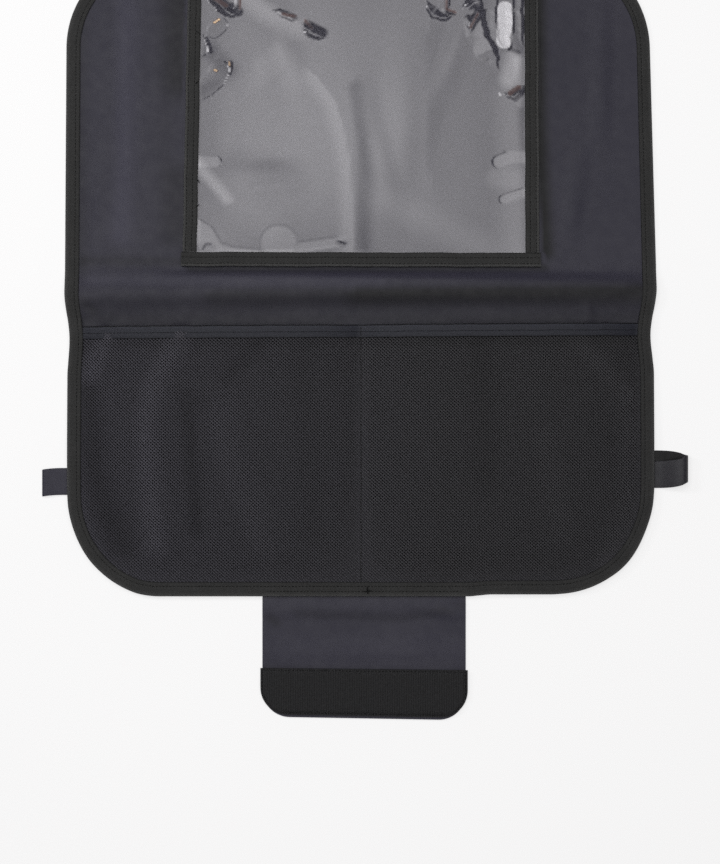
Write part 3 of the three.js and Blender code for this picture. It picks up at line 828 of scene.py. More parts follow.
def yarn_material():
    """Net yarn: dull filaments, lighter along the middle of the yarn and dark at its sides,
    which is painted shade that makes the flat yarn look round.

    The net is lighter and darker along the soft bands of its drape, as painted light and
    shade, and darker towards its right side, as painted shade.
    """
    material, tree, shader = new_material("net_yarn", 0.65, 0.15)
    coordinates = add_node(tree, "ShaderNodeTexCoord").outputs
    place = coordinates["Object"]
    across = add_node(tree, "ShaderNodeSeparateXYZ", {"Vector": coordinates["UV"]}).outputs["X"]
    edge, flank, middle = YARN_COLOURS_AND_SHADE
    stops = [(0.02, edge), (0.25, flank), (0.5, middle), (0.75, flank), (0.98, edge)]
    # Painted shade: dark at the yarn's sides, light along its middle.
    rounded = colour_ramp(tree, across, stops)
    fine = noise(tree, place, 0.35, 3)
    worn = colour_ramp(tree, fine, [(0.25, 0.75), (0.75, 1.0)])
    side = add_node(tree, "ShaderNodeSeparateXYZ", {"Vector": place}).outputs["X"]
    (start, start_tone), (end, end_tone) = SIDE_SHADE_TONES
    span = {"Value": side, "From Min": start, "From Max": end}
    side = add_node(tree, "ShaderNodeMapRange", span).outputs["Result"]
    # Painted shade, darker towards the net's right side.
    side_shade = colour_ramp(tree, side, [(0, start_tone), (1, end_tone)])
    tone = blend(tree, "MULTIPLY", blend(tree, "MULTIPLY", rounded, worn), painted_light_tone(tree))
    tone = blend(tree, "MULTIPLY", tone, side_shade)
    tree.links.new(tone, shader.inputs["Base Color"])
    relief(tree, shader, fine, 0.05)
    return material


net_yarn = yarn_material()


def net_crown(x, v):
    """The empty pocket's stand-off: nothing at the seams, most at the mouth.

    Across each pocket it is 1 less the fourth power of the way out from its middle, and
    up it 1 less the third power of the way down from the mouth.
    """
    edge = outline_half(v, BINDING_LAP + 1)
    across = np.clip((np.abs(x) - SEAM_HALF) / (edge - SEAM_HALF), 0, 1)
    up = ramp(NET_FOOT, NET_HEAD, v)
    return NET_BULGE * (1 - (2 * across - 1) ** 4) * (1 - (1 - up) ** 3)


def under_hem(v):
    """The net climbs onto the hem's lower lap near the mouth."""
    return (TAPE_THICKNESS + EASE) * ramp(NET_CLIMB_START, NET_CLIMB_END, v)


def net_level(x, v):
    """Height of the net's underside: its crown, and its bands where it stands off far enough."""
    crown = net_crown(x, v)
    drape = BAND_HEIGHT * np.minimum(1, crown / BAND_HEIGHT) * banded(x, v, NET_DRAPE_AND_SHADE_BANDS)
    return NET_BOTTOM + under_hem(v) + crown + drape


def yarns(slope, level):
    """One family of straight yarns, v = slope * x + c, each clipped to the net's outline."""
    top = HEM_TOP - TAPE_THICKNESS - 2 * EASE
    reach = outline_half(NET_FOOT + CORNER_RADIUS, NET_INSET)
    crossings = np.arange(NET_INSET - reach, top + reach, NET_PITCH)[:, None]
    probe = np.linspace(NET_INSET, top, YARN_PROBES)[None, :]
    inside = np.abs((probe - crossings) / slope) <= outline_half(probe, NET_INSET)
    kept = inside.sum(axis=1) > FEWEST_PROBES
    crossings, inside = crossings[kept], inside[kept]
    first = probe[0, inside.argmax(axis=1)][:, None]
    last = probe[0, inside.shape[1] - 1 - inside[:, ::-1].argmax(axis=1)][:, None]
    v = first + (last - first) * np.linspace(0, 1, YARN_PARTS + 1)[None, :]
    x = (v - crossings) / slope
    side = YARN_WIDTH / 2 / math.hypot(1, slope)
    left = (x - side * slope, v + side)
    right = (x + side * slope, v - side)
    z = net_level(x, v) + level
    low, high = z - YARN_THICKNESS / 2, z + YARN_THICKNESS / 2
    front = np.stack([lay(*left, high), lay(*right, high)], axis=2)
    back = np.stack([lay(*left, low), lay(*right, low)], axis=2)
    return double_sheets(front, back, np.array([0.0, 1.0]), (v * MM)[..., None])


lower_yarns = yarns(YARN_SLOPE, YARN_LEVELS[0])
upper_yarns = yarns(-YARN_SLOPE, YARN_LEVELS[1])
net = add_piece(
    "net_mesh",
    join_skins([lower_yarns, upper_yarns]),
    net_yarn,
    ["net_pocket"],
)
keep_painted_light(net, NET_DRAPE_AND_SHADE_BANDS)


# Pocket hem: smooth tape folded over the net's mouth and sewn along its middle.
# Its ends go under the edge binding, and it stands up with the pockets between the seams.
HEM_COLOURS = ((0.0107, 0.0115, 0.0174), (0.0173, 0.0185, 0.0278))
# Shares of the hem's colour across it: painted shade at its lower selvedge and over its upper fold,
# and a painted highlight just below that fold.
HEM_SHADE_AND_HIGHLIGHT = ((0.2, 0.3), (0.8, 0.85), (7.4, 1.0), (8.7, 1.3), (9.4, 0.2))
HEM_WAVE, HEM_WAVELENGTH, HEM_STILL_END = 0.18, 38, 14


def satin_material():
    """Smooth tape: long fine warp threads that give it a satin shine."""
    material, tree, shader = new_material("smooth_tape", 0.5, 0.22)
    cloth = add_node(tree, "ShaderNodeTexCoord").outputs["UV"]
    threads = stripes(tree, cloth, "X", 0.5)
    picks = stripes(tree, cloth, "Y", 0.42)
    surface = blend(tree, "MIX", threads, picks, 0.35)
    tone = colour_ramp(tree, surface, [(0.1, HEM_COLOURS[0]), (0.8, HEM_COLOURS[1])])
    # Painted shade and a painted highlight across the hem.
    tone = blend(tree, "MULTIPLY", tone, painted_light_across_tape(tree, cloth, HEM_SHADE_AND_HIGHLIGHT))
    tree.links.new(tone, shader.inputs["Base Color"])
    relief(tree, shader, surface, 0.05)
    return material


smooth_tape = satin_material()
hem_edge = HEM_TOP - EASE - TAPE_THICKNESS
hem_half = outline_half(HEM_TOP, NET_INSET)
hem_x = np.linspace(hem_half, -hem_half, 241)
hem_low = NET_BOTTOM + net_crown(hem_x, HEM_TOP)
hem_held = ramp(hem_half, hem_half - HEM_STILL_END, np.abs(hem_x))
hem_v = hem_edge + HEM_WAVE * wander(hem_x, HEM_WAVELENGTH, 11) * hem_held
ones = np.ones_like(hem_x)
hem_lap = hem_edge - HEM_BOTTOM
hem_groove = hem_lap / 2 - 0.1
hem_skin = folded_tape(
    hem_x,
    hem_v,
    0 * ones,
    ones,
    hem_low,
    hem_low + HEM_STACK,
    hem_lap,
    [hem_groove],
    lay,
    hem_half - hem_x,
)
add_piece("hem_tape", hem_skin, smooth_tape, ["pocket_hem"])
hem_line = lay(hem_x, hem_v - hem_lap + hem_groove, hem_low + HEM_STACK - 0.1)
add_piece(
    "hem_stitches",
    stitch_row(hem_line, (0, 0, 1), 2.6, thread=0.36, seed=3),
    sewing_thread,
)


# Divider seam: the line of thread down the middle that parts the net into two pockets.
# It runs over the hem, and its lower thread lies under the panel.
seam_v = np.linspace(NET_FOOT, HEM_TOP - 1.5, 90)
seam_over_hem = (TAPE_THICKNESS + EASE) * ramp(NET_HEAD - 1.2, HEM_BOTTOM, seam_v)
seam_level = NET_BOTTOM + under_hem(seam_v) + NET_THICKNESS + seam_over_hem
seam_x = 0.25 * wander(seam_v, 60, 7)
seam_line = lay(seam_x, seam_v, seam_level + 0.1)
seam_back = lay(seam_x + 0.5, seam_v, PANEL_BOTTOM + 0.05)
add_piece(
    "divider_stitches",
    join_skins(
        [
            stitch_row(seam_line, (0, 0, 1), 2.6, thread=0.5, share=0.86, seed=4),
            stitch_row(seam_back, (0, 0, -1), 2.6, thread=0.5, seed=5),
        ]
    ),
    sewing_thread,
    ["pocket_divider_seam"],
)


# Window pocket: a sheet of coated cloth behind, clear film in front, both bound in ribbed
# tape and sewn down at the sides and foot. The mouth is at the top. The film has lain
# folded, so it stands off the cloth in soft lobes. Its streaks of mirrored light are a
# painted reflection, worked out from its slopes and kept as its alpha and colour.
BACKING_THICKNESS, FILM_THICKNESS = 0.6, 0.4
FRAME_WIDTH, FRAME_TAPE, FRAME_TAPER = 278, 10.9, {-1: 4.2, 1: -0.4}
FRAME_DROP = 1.5
FRAME_HEAD = MAT_LENGTH - BINDING_LAP - 5
FRAME_FOOT_OVERHANG, BACKING_OVERHANG = 1, 1.4
FILM_GRIP, FILM_BULGE = 7.5, 6
BACKING_BOTTOM = PANEL_TOP + EASE
FRAME_BOTTOM = BACKING_BOTTOM + BACKING_THICKNESS + EASE
FILM_BOTTOM = FRAME_BOTTOM + TAPE_THICKNESS + EASE
FRAME_TOP = FILM_BOTTOM + FILM_THICKNESS + EASE + TAPE_THICKNESS
OPENING_FOOT = FRAME_FOOT + FRAME_TAPE
OPENING_HEAD = FRAME_HEAD - FRAME_TAPE
OPENING_HALF = FRAME_WIDTH / 2 - FRAME_TAPE
# The film's own pale tint, and the colours of its painted reflections: a dark brown and a warm
# lamp.
FILM_TINTS = ((0, (0.95, 0.94, 0.985)), (0.5, (0.2, 0.135, 0.13)), (1, (1, 0.72, 0.45)))
FILM_FOLDS = (
    {"x": -12, "reach": 17, "lean": 0.18, "foot": 0, "head": 0.75, "height": 1.1},
    {"x": 38, "reach": 20, "lean": -0.08, "foot": 0, "head": 1, "height": 0.9},
    {"x": -78, "reach": 22, "lean": 0.3, "foot": 0.45, "head": 1.15, "height": 1.1},
    {"x": 92, "reach": 16, "lean": -0.35, "foot": 0.5, "head": 1.15, "height": 1.3},
)
FILM_LOBES = (
    {"pixel": (262, 54), "lean": 40, "reach": 22, "length": 40, "height": 1.0},
    {"pixel": (262, 175), "lean": 5, "reach": 14, "length": 40, "height": -0.7},
    {"pixel": (220, 65), "lean": 60, "reach": 12, "length": 24, "height": -0.7},
    {"pixel": (420, 120), "lean": 80, "reach": 20, "length": 80, "height": 0.5},
)
FILM_CREASES = (
    {"path": ((198, -8), (213, 4), (226, 15), (238, 21)), "reach": (5.6, 4.2), "height": 2.4},
    {"path": ((234, -8), (235, 19)), "reach": (1.6, 4), "height": 0.8},
    {"path": ((270, 14), (283, 19), (298, 24)), "reach": (4.6, 2.4), "height": 1.4},
    {"path": ((300, 27), (311, 36), (327, 42)), "reach": (6.4, 3.6), "height": 2.1},
    {"path": ((424, 2), (432, 19), (446, 21), (458, 16)), "reach": (7, 2.2), "height": 1.4},
    {"path": ((445, -8), (447, 18)), "reach": (2, 6), "height": 1.2},
    {"path": ((461, 11), (470, 4), (481, 1)), "reach": (3, 2.4), "height": 1.5},
    {
        "path": ((479, -4), (480, 20), (482, 30), (485, 38), (490, 48), (496, 59), (498, 73)),
        "reach": (3.7, 14),
        "height": 2.6,
    },
    {"path": ((487, 10), (480, 17), (474, 24), (469, 32)), "reach": (2.2, 4.6), "height": 1.4},
    {"path": ((477, 18), (473, 27), (469, 36)), "reach": (2, 5), "height": 1.2},
    {"path": ((502, 93), (514, 99), (521, 92), (526, 83)), "reach": (4, 2.4), "height": 1.9},
    {"path": ((512, -20), (513, 24), (510, 49), (503, 54)), "reach": (0.9, 6), "height": 1.5},
    {"path": ((497, -10), (495, 24), (499, 44), (506, 52)), "reach": (1.2, 5), "height": 0.7},
    {"path": ((521, -20), (523, 50)), "reach": (1.4, 4), "height": 0.9},
    {"path": ((336, 240), (347, 243)), "reach": (4, 1.6), "height": 0.9},
)
FILM_CLINGS = (
    {"path": ((192, 162), (214, 163)), "radius": 5, "share": 0.085},
    {"path": ((530, 157), (512, 157), (499, 162)), "radius": 5.4, "share": 0.085},
    {"path": ((528, 191), (504, 199)), "radius": 4, "share": 0.075},
    {
        "path": ((188, 226), (204, 236), (213, 252), (230, 258), (260, 261)),
        "radius": 9,
        "share": 0.06,
    },
    {"path": ((278, 243), (280, 243)), "radius": 14, "share": 0.06},
    {"path": ((301, 246), (337, 241)), "radius": 3.6, "share": 0.06},
    {"path": ((211, 32), (217, 27)), "radius": 6, "share": -0.02},
    {"path": ((194, 42), (197, 50)), "radius": 6, "share": 0.01},
    {"path": ((194, 92), (203, 88), (213, 80), (217, 72)), "radius": 8, "share": -0.01},
)
CLING_DEPTH, CLING_EDGE, CLING_BLUR = 0.34, 0.5, 2
CREASE_WANDER, CREASE_END = 0.9, 0.3
SIDE_HOLD, FOOT_HOLD, HEAD_HOLD = 2.5, 2, 6
# Each is a painted glint on the film, dark where its share is below 0: a bent line of pixels with
# its reaches to both sides in millimetres. The core is the even part of a reach, and the share is
# the light that it adds, or takes where it is below 0.
FILM_GLINTS = (
    {"path": ((505, 11), (504, 42)), "reach": (6.6, 6.6), "core": 0.85, "share": 0.5},
    {"path": ((514, 60), (509, 80)), "reach": (11, 12), "core": 0.1, "share": 0.2},
    {"path": ((192, 162), (214, 186), (226, 200)), "reach": (9, 7), "core": 0, "share": 0.15},
    {"path": ((277, 15), (291, 20)), "reach": (2, 2), "core": 0.4, "share": 0.2},
    {"path": ((240, 40), (240, 165)), "reach": (30, 34), "core": 0, "share": 0.03},
    {"path": ((240, -4), (262, 13), (294, 30)), "reach": (11, 16), "core": 0, "share": 0.13},
    {"path": ((262, 50), (285, 78)), "reach": (26, 22), "core": 0, "share": 0.03},
    {"path": ((208, 52), (226, 72)), "reach": (13, 12), "core": 0.1, "share": -0.08},
    {"path": ((198, 92), (214, 84)), "reach": (9, 9), "core": 0, "share": -0.06},
    {"path": ((236, 163), (292, 178)), "reach": (20, 24), "core": 0, "share": -0.045},
    {"path": ((240, 205), (268, 225)), "reach": (20, 20), "core": 0, "share": 0.025},
    {
        "path": ((314, 78), (334, 104), (345, 140), (350, 175), (353, 258)),
        "reach": (2.2, 15),
        "core": 0.1,
        "share": 0.085,
    },
    {"path": ((307, 27), (315, 31), (323, 35)), "reach": (4.5, 4.5), "core": 0.5, "share": -0.2},
    {"path": ((277, 14), (292, 21)), "reach": (2.4, 1.2), "core": 0.3, "share": -0.12},
    {"path": ((230, 10), (236, 14)), "reach": (5, 5), "core": 0.5, "share": -0.2},
    {"path": ((213, 2), (226, 8)), "reach": (4.5, 4), "core": 0.4, "share": -0.12},
    {"path": ((446, 14), (452, 16)), "reach": (2, 2), "core": 0.4, "share": -0.12},
    {"path": ((513, 93), (518, 90)), "reach": (3, 3), "core": 0.3, "share": -0.16},
    {"path": ((211, 24), (216, 21)), "reach": (1.3, 1.3), "core": 0.4, "share": 0.6, "warmth": 1},
    {"path": ((212, 71), (214, 72)), "reach": (1.2, 1.2), "core": 0.4, "share": 0.5, "warmth": 1},
    {"path": ((227, 64), (228, 67)), "reach": (1.2, 1.2), "core": 0.4, "share": 0.5, "warmth": 1},
    {"path": ((210, 0), (223, 8)), "reach": (3, 2.4), "core": 0.4, "share": 0.5, "warmth": 0.5},
    {"path": ((237, -2), (237, 11)), "reach": (1.4, 1.4), "core": 0.3, "share": 0.4, "warmth": 0.5},
    {"path": ((282, 17), (293, 19)), "reach": (2, 2), "core": 0.3, "share": 0.4, "warmth": 0.5},
    {"path": ((304, 23), (311, 31)), "reach": (2, 2), "core": 0.3, "share": 0.4, "warmth": 0.5},
    {
        "path": ((446, 2), (446, 12), (455, 15)),
        "reach": (1.7, 1.7),
        "core": 0.3,
        "share": 0.5,
        "warmth": 0.5,
    },
    {"path": ((470, 30), (477, 17)), "reach": (1.6, 1.6), "core": 0.3, "share": 0.4, "warmth": 0.5},
    {"path": ((510, 94), (519, 88)), "reach": (2.6, 2.6), "core": 0.4, "share": 0.5, "warmth": 0.5},
    {"path": ((499, 94), (500, 96)), "reach": (1.1, 1.1), "core": 0.4, "share": 0.4},
    {"path": ((518, 62), (520, 84)), "reach": (7, 7), "core": 0.1, "share": 0.14},
    {"path": ((520, 99), (520, 104)), "reach": (5, 5), "core": 0.1, "share": 0.1},
    {"path": ((509, 50), (519, 53)), "reach": (2.4, 2.4), "core": 0.2, "share": -0.15},
    {"path": ((338, 243), (345, 244)), "reach": (3.4, 3.4), "core": 0.2, "share": -0.08},
    {
        "path": ((203, 249), (206, 244), (211, 244)),
        "reach": (1.6, 1.6),
        "core": 0.3,
        "share": -0.15,
    },
    {"path": ((200, 247), (212, 248)), "reach": (5, 5), "core": 0.2, "share": -0.06},
    {"path": ((203, 40), (205, 44), (208, 53)), "reach": (2, 2), "core": 0.5, "share": -0.4},
    {"path": ((229, 65), (228, 75)), "reach": (2, 2), "core": 0.5, "share": -0.4},
    {"path": ((468, 19), (469, 23)), "reach": (1.6, 1.6), "core": 0.5, "share": -0.4},
    {"path": ((354, 90), (362, 140), (363, 245)), "reach": (13, 9), "core": 0, "share": -0.095},
    {"path": ((514, 100), (518, 256)), "reach": (9, 24), "core": 0, "share": 0.07},
    {"path": ((225, 100), (226, 150)), "reach": (14, 14), "core": 0, "share": 0.02},
    {"path": ((384, 200), (430, 222), (482, 247)), "reach": (20, 20), "core": 0, "share": 0.04},
    {"path": ((366, -20), (368, 60)), "reach": (40, 40), "core": 0, "share": -0.016},
    {"path": ((430, 40), (432, 170)), "reach": (34, 8), "core": 0, "share": -0.035},
    {"path": ((496, 178), (522, 179)), "reach": (12, 13), "core": 0.2, "share": 0.05},
)
WIDE_SHINE = {"x": -77, "v": 342, "height": 1600, "half": 950, "blur": 160, "share": 0.176}
ROUND_SHINES = (
    {"x": -90, "v": 525, "height": 1600, "radius": 540, "share": 0.095},
    {"x": -1300, "v": 740, "height": 1350, "radius": 500, "share": 0.9},
)
STEEPEST, LEAST_SHINE, MOST_SHINE = 0.9, 0.004, 0.8


def film_material():
    """Clear soft film: see-through, but for a painted reflection whose share and warmth are
    attributes.
    """
    material, tree, shader = new_material("clear_film", 0.4, 0.5)
    shine = add_node(tree, "ShaderNodeAttribute", attribute_name="shine").outputs["Fac"]
    warmth = add_node(tree, "ShaderNodeAttribute", attribute_name="warmth").outputs["Fac"]
    tree.links.new(shine, shader.inputs["Alpha"])
    tree.links.new(colour_ramp(tree, warmth, FILM_TINTS), shader.inputs["Base Color"])
    return material


def place_in_frame(x, v, z):
    """The window pocket's own pattern as it is sewn on, in metres in the frame.

    Its sides draw in evenly on the way up to the mouth, and its foot slants a little.
    """
    half = FRAME_WIDTH / 2
    taper = np.where(x < 0, FRAME_TAPER[-1], FRAME_TAPER[1])
    narrowing = taper / half * ramp(FRAME_FOOT, FRAME_HEAD, v)
    drop = FRAME_DROP * ramp(-half, half, x) * ramp(FRAME_HEAD, FRAME_FOOT, v)
    return lay(x * (1 - narrowing), v - drop, z)


def film_crown(x, v):
    """The film's stand-off: an arch between the side tapes that grows towards the mouth.

    Across it is 1 less the fourth power of the way out, and up it 1 less the fourth power
    of the way down from the mouth.
    """
    across = np.minimum(1, np.abs(x) / OPENING_HALF)
    up = ramp(OPENING_FOOT, OPENING_HEAD, v)
    return FILM_BULGE * (1 - across**4) * (1 - (1 - up) ** 4)


def film_folds(x, v):
    """Long shallow folds down the film, each leaning to one side, and flat at the tapes.

    Each is a bump across a slanting line times a longer bump along it.
    """
    up = (v - OPENING_FOOT) / (OPENING_HEAD - OPENING_FOOT)
    inside = 1 - np.minimum(1, np.abs(x) / OPENING_HALF) ** 8
    total = 0
    for fold in FILM_FOLDS:
        line = fold["x"] + fold["lean"] * (OPENING_HEAD - v)
        middle, half = (fold["foot"] + fold["head"]) / 2, (fold["head"] - fold["foot"]) / 2
        total = total + fold["height"] * bump(line, fold["reach"], x) * bump(middle, half, up)
    return total * inside * ramp(OPENING_HEAD, OPENING_HEAD - FRAME_TAPE, v)


def film_creases(x, v):
    """Creases as ridges with straight flanks that narrow to their ends, and clung patches.

    A ridge falls evenly over one reach on each side. A patch where the film clings to
    the cloth lies lower inside a narrow edge. All fade out where the tapes hold the film.
    """
    total = ridges(x, v, FILM_LOBES)
    bent_x = x + CREASE_WANDER * wander(v, 19, 61)
    bent_v = v + CREASE_WANDER * wander(x, 17, 62)
    for crease in FILM_CREASES:
        across, along = from_path(bent_x, bent_v, crease["path"])
        ends = ramp(0, CREASE_END, along) * ramp(1, 1 - CREASE_END, along)
        reach = np.where(across > 0, *crease["reach"])
        total = total + crease["height"] * np.maximum(0, ends - np.abs(across) / reach)
    for cling in FILM_CLINGS:
        distance = np.abs(from_path(x, v, cling["path"])[0]) - cling["radius"]
        total = total - CLING_DEPTH * ramp(CLING_EDGE, -CLING_EDGE, distance)
    to_side = OPENING_HALF - np.abs(x)
    held_sides = ramp(0, SIDE_HOLD, to_side)
    held_ends = ramp(0, FOOT_HOLD, v - OPENING_FOOT) * ramp(0, HEAD_HOLD, OPENING_HEAD - v)
    return held_sides * held_ends * total


def glint_share(x, v, glint):
    """1 in the core along a glint's bent line, falling as a bump to 0 one reach from it."""
    across = from_path(x, v, glint["path"])[0]
    reach = np.where(across > 0, *glint["reach"])
    return bump(1, 1, ramp(reach, glint["core"] * reach, np.abs(across)))


def film_warmth(x, v):
    """How warm the painted reflection is: 0.5 where it is a dark brown, 1 where it is a lamp.

    It is the greatest of the warm glints' shares, which rise fast so their edges are sharp.
    """
    warm = [glint for glint in FILM_GLINTS if "warmth" in glint]
    shares = [glint["warmth"] * np.minimum(1, 4 * glint_share(x, v, glint)) for glint in warm]
    return np.max(shares, axis=0)


def film_shine(x, v, level):
    """The painted reflection: how much light each place mirrors up to the camera, as a share of the
    floor's light.

    A slope s turns the mirrored ray sideways by 2s / (1 - s^2) of the way up. It counts
    where it meets the wide light, and fades from the middle of each round one. Glints
    stand for bends too small for the grid, and dark ones, with a share below 0, for hollows.
    Clung patches lie level and shine a little more or less than the rest.
    """
    slope_v, slope_x = np.gradient(level, v[:, 0], x[0])

    def met(light):
        """How far from a light's middle the mirrored rays are when they reach its height."""
        rays = []
        for place, slope, eye in ((x, slope_x, view_x), (v, slope_v, view_v)):
            tilt = np.clip(slope, -STEEPEST, STEEPEST)
            straight = place + (place - eye) * light["height"] / (CAMERA_HEIGHT / MM)
            rays.append(straight - 2 * tilt / (1 - tilt**2) * light["height"])
        return rays[0] - light["x"], rays[1] - light["v"]

    far = np.maximum(*(np.abs(side) for side in met(WIDE_SHINE)))
    blur = WIDE_SHINE["blur"]
    shine = WIDE_SHINE["share"] * ramp(WIDE_SHINE["half"] + blur, WIDE_SHINE["half"] - blur, far)
    for light in ROUND_SHINES:
        shine = shine + light["share"] * bump(0, light["radius"], np.hypot(*met(light)))
    for glint in FILM_GLINTS:
        shine = shine + glint["share"] * glint_share(x, v, glint)
    for cling in FILM_CLINGS:
        near = np.abs(from_path(x, v, cling["path"])[0])
        shine = shine + cling["share"] * ramp(cling["radius"], cling["radius"] - CLING_BLUR, near)
    return np.clip(shine, LEAST_SHINE, MOST_SHINE)


def stepped(*spans):
    """Places along spans of (start, end, spacing), each span evenly divided."""
    parts = []
    for start, end, spacing in spans:
        count = max(1, round(abs(end - start) / spacing))
        parts.append(np.linspace(start, end, count, endpoint=False))
    return np.append(np.concatenate(parts), spans[-1][1])


backing_v = np.linspace(FRAME_FOOT + FRAME_FOOT_OVERHANG, FRAME_HEAD, 60)[:, None]
backing_edge = FRAME_WIDTH / 2 + BACKING_OVERHANG
backing_share = np.linspace(-1, 1, 41)[None, :]
backing_shift = 0.7 * wander(backing_v, 120, 21)
backing_x = backing_edge * backing_share + backing_shift * np.abs(backing_share) ** 8
backing = add_piece(
    "backing_cloth",
    sheet_skin(
        place_in_frame, backing_x, backing_v, BACKING_BOTTOM + BACKING_THICKNESS, BACKING_BOTTOM
    ),
    coated_cloth,
    ["window_backing"],
)
# The backing takes the panel's painted light and shade too.
keep_painted_light(backing, PANEL_LIGHT_AND_SHADE)

clear_film = film_material()
film_half = OPENING_HALF + FILM_GRIP
# The grid is close where the creases and clung patches are.
film_x = stepped((-film_half, -75, 1), (-75, -16, 1.8), (-16, 48, 3), (48, film_half, 1))
film_v = stepped(
    (OPENING_FOOT - FILM_GRIP, 345, 1),
    (345, 378, 2.5),
    (378, 472, 1),
    (472, OPENING_HEAD + FILM_GRIP, 4),
)
film_x, film_v = film_x[None, :], film_v[:, None]
film_level = film_crown(film_x, film_v) + film_folds(film_x, film_v)
film_level = FILM_BOTTOM + film_level + film_creases(film_x, film_v)
film = add_piece(
    "film_sheet",
    sheet_skin(place_in_frame, film_x, film_v, film_level + FILM_THICKNESS, film_level),
    clear_film,
    ["window_film"],
)
# The view goes through both faces of the film, and the two together give the painted reflection.
one_face = 1 - np.sqrt(1 - film_shine(film_x, film_v, film_level))
for name, layer in (("shine", one_face), ("warmth", film_warmth(film_x, film_v))):
    both_faces = np.concatenate([layer, layer[:, ::-1]], axis=1)
    kept = film.data.attributes.new(name, "FLOAT", "POINT")
    kept.data.foreach_set("value", both_faces.ravel())


# Window tapes: four lengths of ribbed tape folded over the film's edges. Two rows of
# stitches hold each. The foot tape runs over the ends of the side tapes and past them.
TAPE_ROWS = (3.9, 8.6)
TAPE_STEPS, STILL_END = 120, 12
SIDE_WAVER, TOP_WAVER = {"height": 0.25, "length": 70}, {"height": 0.06, "length": 24}
FRAME_LAP = FRAME_TAPE - EASE - TAPE_THICKNESS


def frame_tape(name, node, start, end, out, lift, seed):
    """One straight tape from start to end, and its two rows of stitches, which it returns.

    It wavers a little, and is lifted by a share of the film's crown at the mouth.
    """
    share = np.linspace(0, 1, TAPE_STEPS)
    x = start[0] + (end[0] - start[0]) * share
    v = start[1] + (end[1] - start[1]) * share
    length = np.hypot(x - x[0], v - v[0])
    ends = np.minimum(1, np.minimum(length, length[-1] - length) / STILL_END)
    waver = SIDE_WAVER["height"] * wander(length, SIDE_WAVER["length"], seed) * ends
    uneven = TOP_WAVER["height"] * wander(length, TOP_WAVER["length"], seed + 1)
    raised = lift * film_crown(x, FRAME_HEAD)
    inwards = EASE + TAPE_THICKNESS
    x = x - out[0] * (inwards - waver)
    v = v - out[1] * (inwards - waver)
    ones = np.ones(TAPE_STEPS)
    low, high = FRAME_BOTTOM + raised, FRAME_TOP + raised
    skin = folded_tape(
        x,
        v,
        out[0] * ones,
        out[1] * ones,
        low,
        high + uneven,
        FRAME_LAP,
        list(TAPE_ROWS),
        place_in_frame,
        length,
    )
    add_piece(name, skin, ribbed_tape, [node])
    rows = []
    for row in TAPE_ROWS:
        back_by = FRAME_LAP - row
        line = place_in_frame(x - out[0] * back_by, v - out[1] * back_by, high - 0.1)
        rows.append(stitch_row(line, (0, 0, 1), 2.9, thread=0.4, seed=seed))
    return rows


frame_half = FRAME_WIDTH / 2
foot_half = frame_half + FRAME_FOOT_OVERHANG
side_low, side_high = OPENING_FOOT + EASE, OPENING_HEAD - EASE
FRAME_TAPES = (
    {
        "name": "side_tape_left",
        "node": "window_tape_left",
        "start": (-frame_half, side_high),
        "end": (-frame_half, side_low),
        "out": (-1, 0),
        "lift": 0,
    },
    {
        "name": "side_tape_right",
        "node": "window_tape_right",
        "start": (frame_half, side_low),
        "end": (frame_half, side_high),
        "out": (1, 0),
        "lift": 0,
    },
    {
        "name": "foot_tape",
        "node": "window_tape_foot",
        "start": (-foot_half, FRAME_FOOT),
        "end": (foot_half, FRAME_FOOT),
        "out": (0, -1),
        "lift": 0,
    },
    {
        "name": "head_tape",
        "node": "window_tape_head",
        "start": (frame_half, FRAME_HEAD),
        "end": (-frame_half, FRAME_HEAD),
        "out": (0, 1),
        "lift": 1,
    },
)
frame_rows = []
for tape in FRAME_TAPES:
    frame_rows.extend(frame_tape(**tape, seed=30 + len(frame_rows)))
add_piece("frame_stitches", join_skins(frame_rows), sewing_thread)


# Tab: a doubled piece of coated cloth sewn under the mat's foot, which is pushed into the
# gap of the seat. Its root lies under the binding, and it ripples where it comes out.
tab_low, tab_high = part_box("tab_panel")
TAB_WIDTH = (tab_high.x - tab_low.x) / MM
TAB_SHIFT, TAB_STRETCH = 0.4, 1.009
TAB_OFFSET = (tab_high.x + tab_low.x) / 2 / MM - ORIGIN_X / MM + TAB_SHIFT
TAB_LENGTH, TAB_CORNER, TAB_SKEW = 96, 21, 1.4
TAB_FOLD_WIDTH, TAB_FOLD_HEIGHT = 21, 0.5
TAB_HELD_TO, TAB_FREE_FROM = 42, 50
ROOT_LENGTH = BINDING_LAP - 1
TAB_WAVES = (
    {"pixel": (440, 611), "lean": -14, "reach": 7, "length": 46, "height": 0.3},
    {"pixel": (362, 652), "lean": 1, "reach": 14, "length": 110, "height": 0.3},
)
# Painted light and shade on the tab: a shaded band and spot along the fold by the binding, lit
# strips beside it and across the middle, and a shaded line along the fastener's top edge.
TAB_LIGHT_AND_SHADE = (
    {"path": ((462, 607), (440, 612), (398, 618), (298, 614)), "reach": (6, 8), "share": -0.24},
    {"path": ((270, 618), (276, 622)), "reach": (7, 7), "share": -0.35},
    {"path": ((448, 606), (464, 612)), "reach": (5, 4), "share": 0.14},
    {"path": ((262, 650), (466, 648)), "reach": (24, 16), "share": 0.12},
    {"path": ((262, 668), (466, 672)), "reach": (5, 3), "share": -0.25},
)


def place_on_tab(x, v, z):
    """The tab's own pattern in metres, stretched a touch, its end lower on one side."""
    x, v, z = np.broadcast_arrays(x, v, z)
    skew = TAB_SKEW * x / (TAB_WIDTH / 2) * ramp(0, -TAB_LENGTH, v)
    placed = np.stack([x * TAB_STRETCH + TAB_OFFSET, v - skew, z], axis=-1)
    return placed * MM + np.array([ORIGIN_X, ORIGIN_Y, 0])


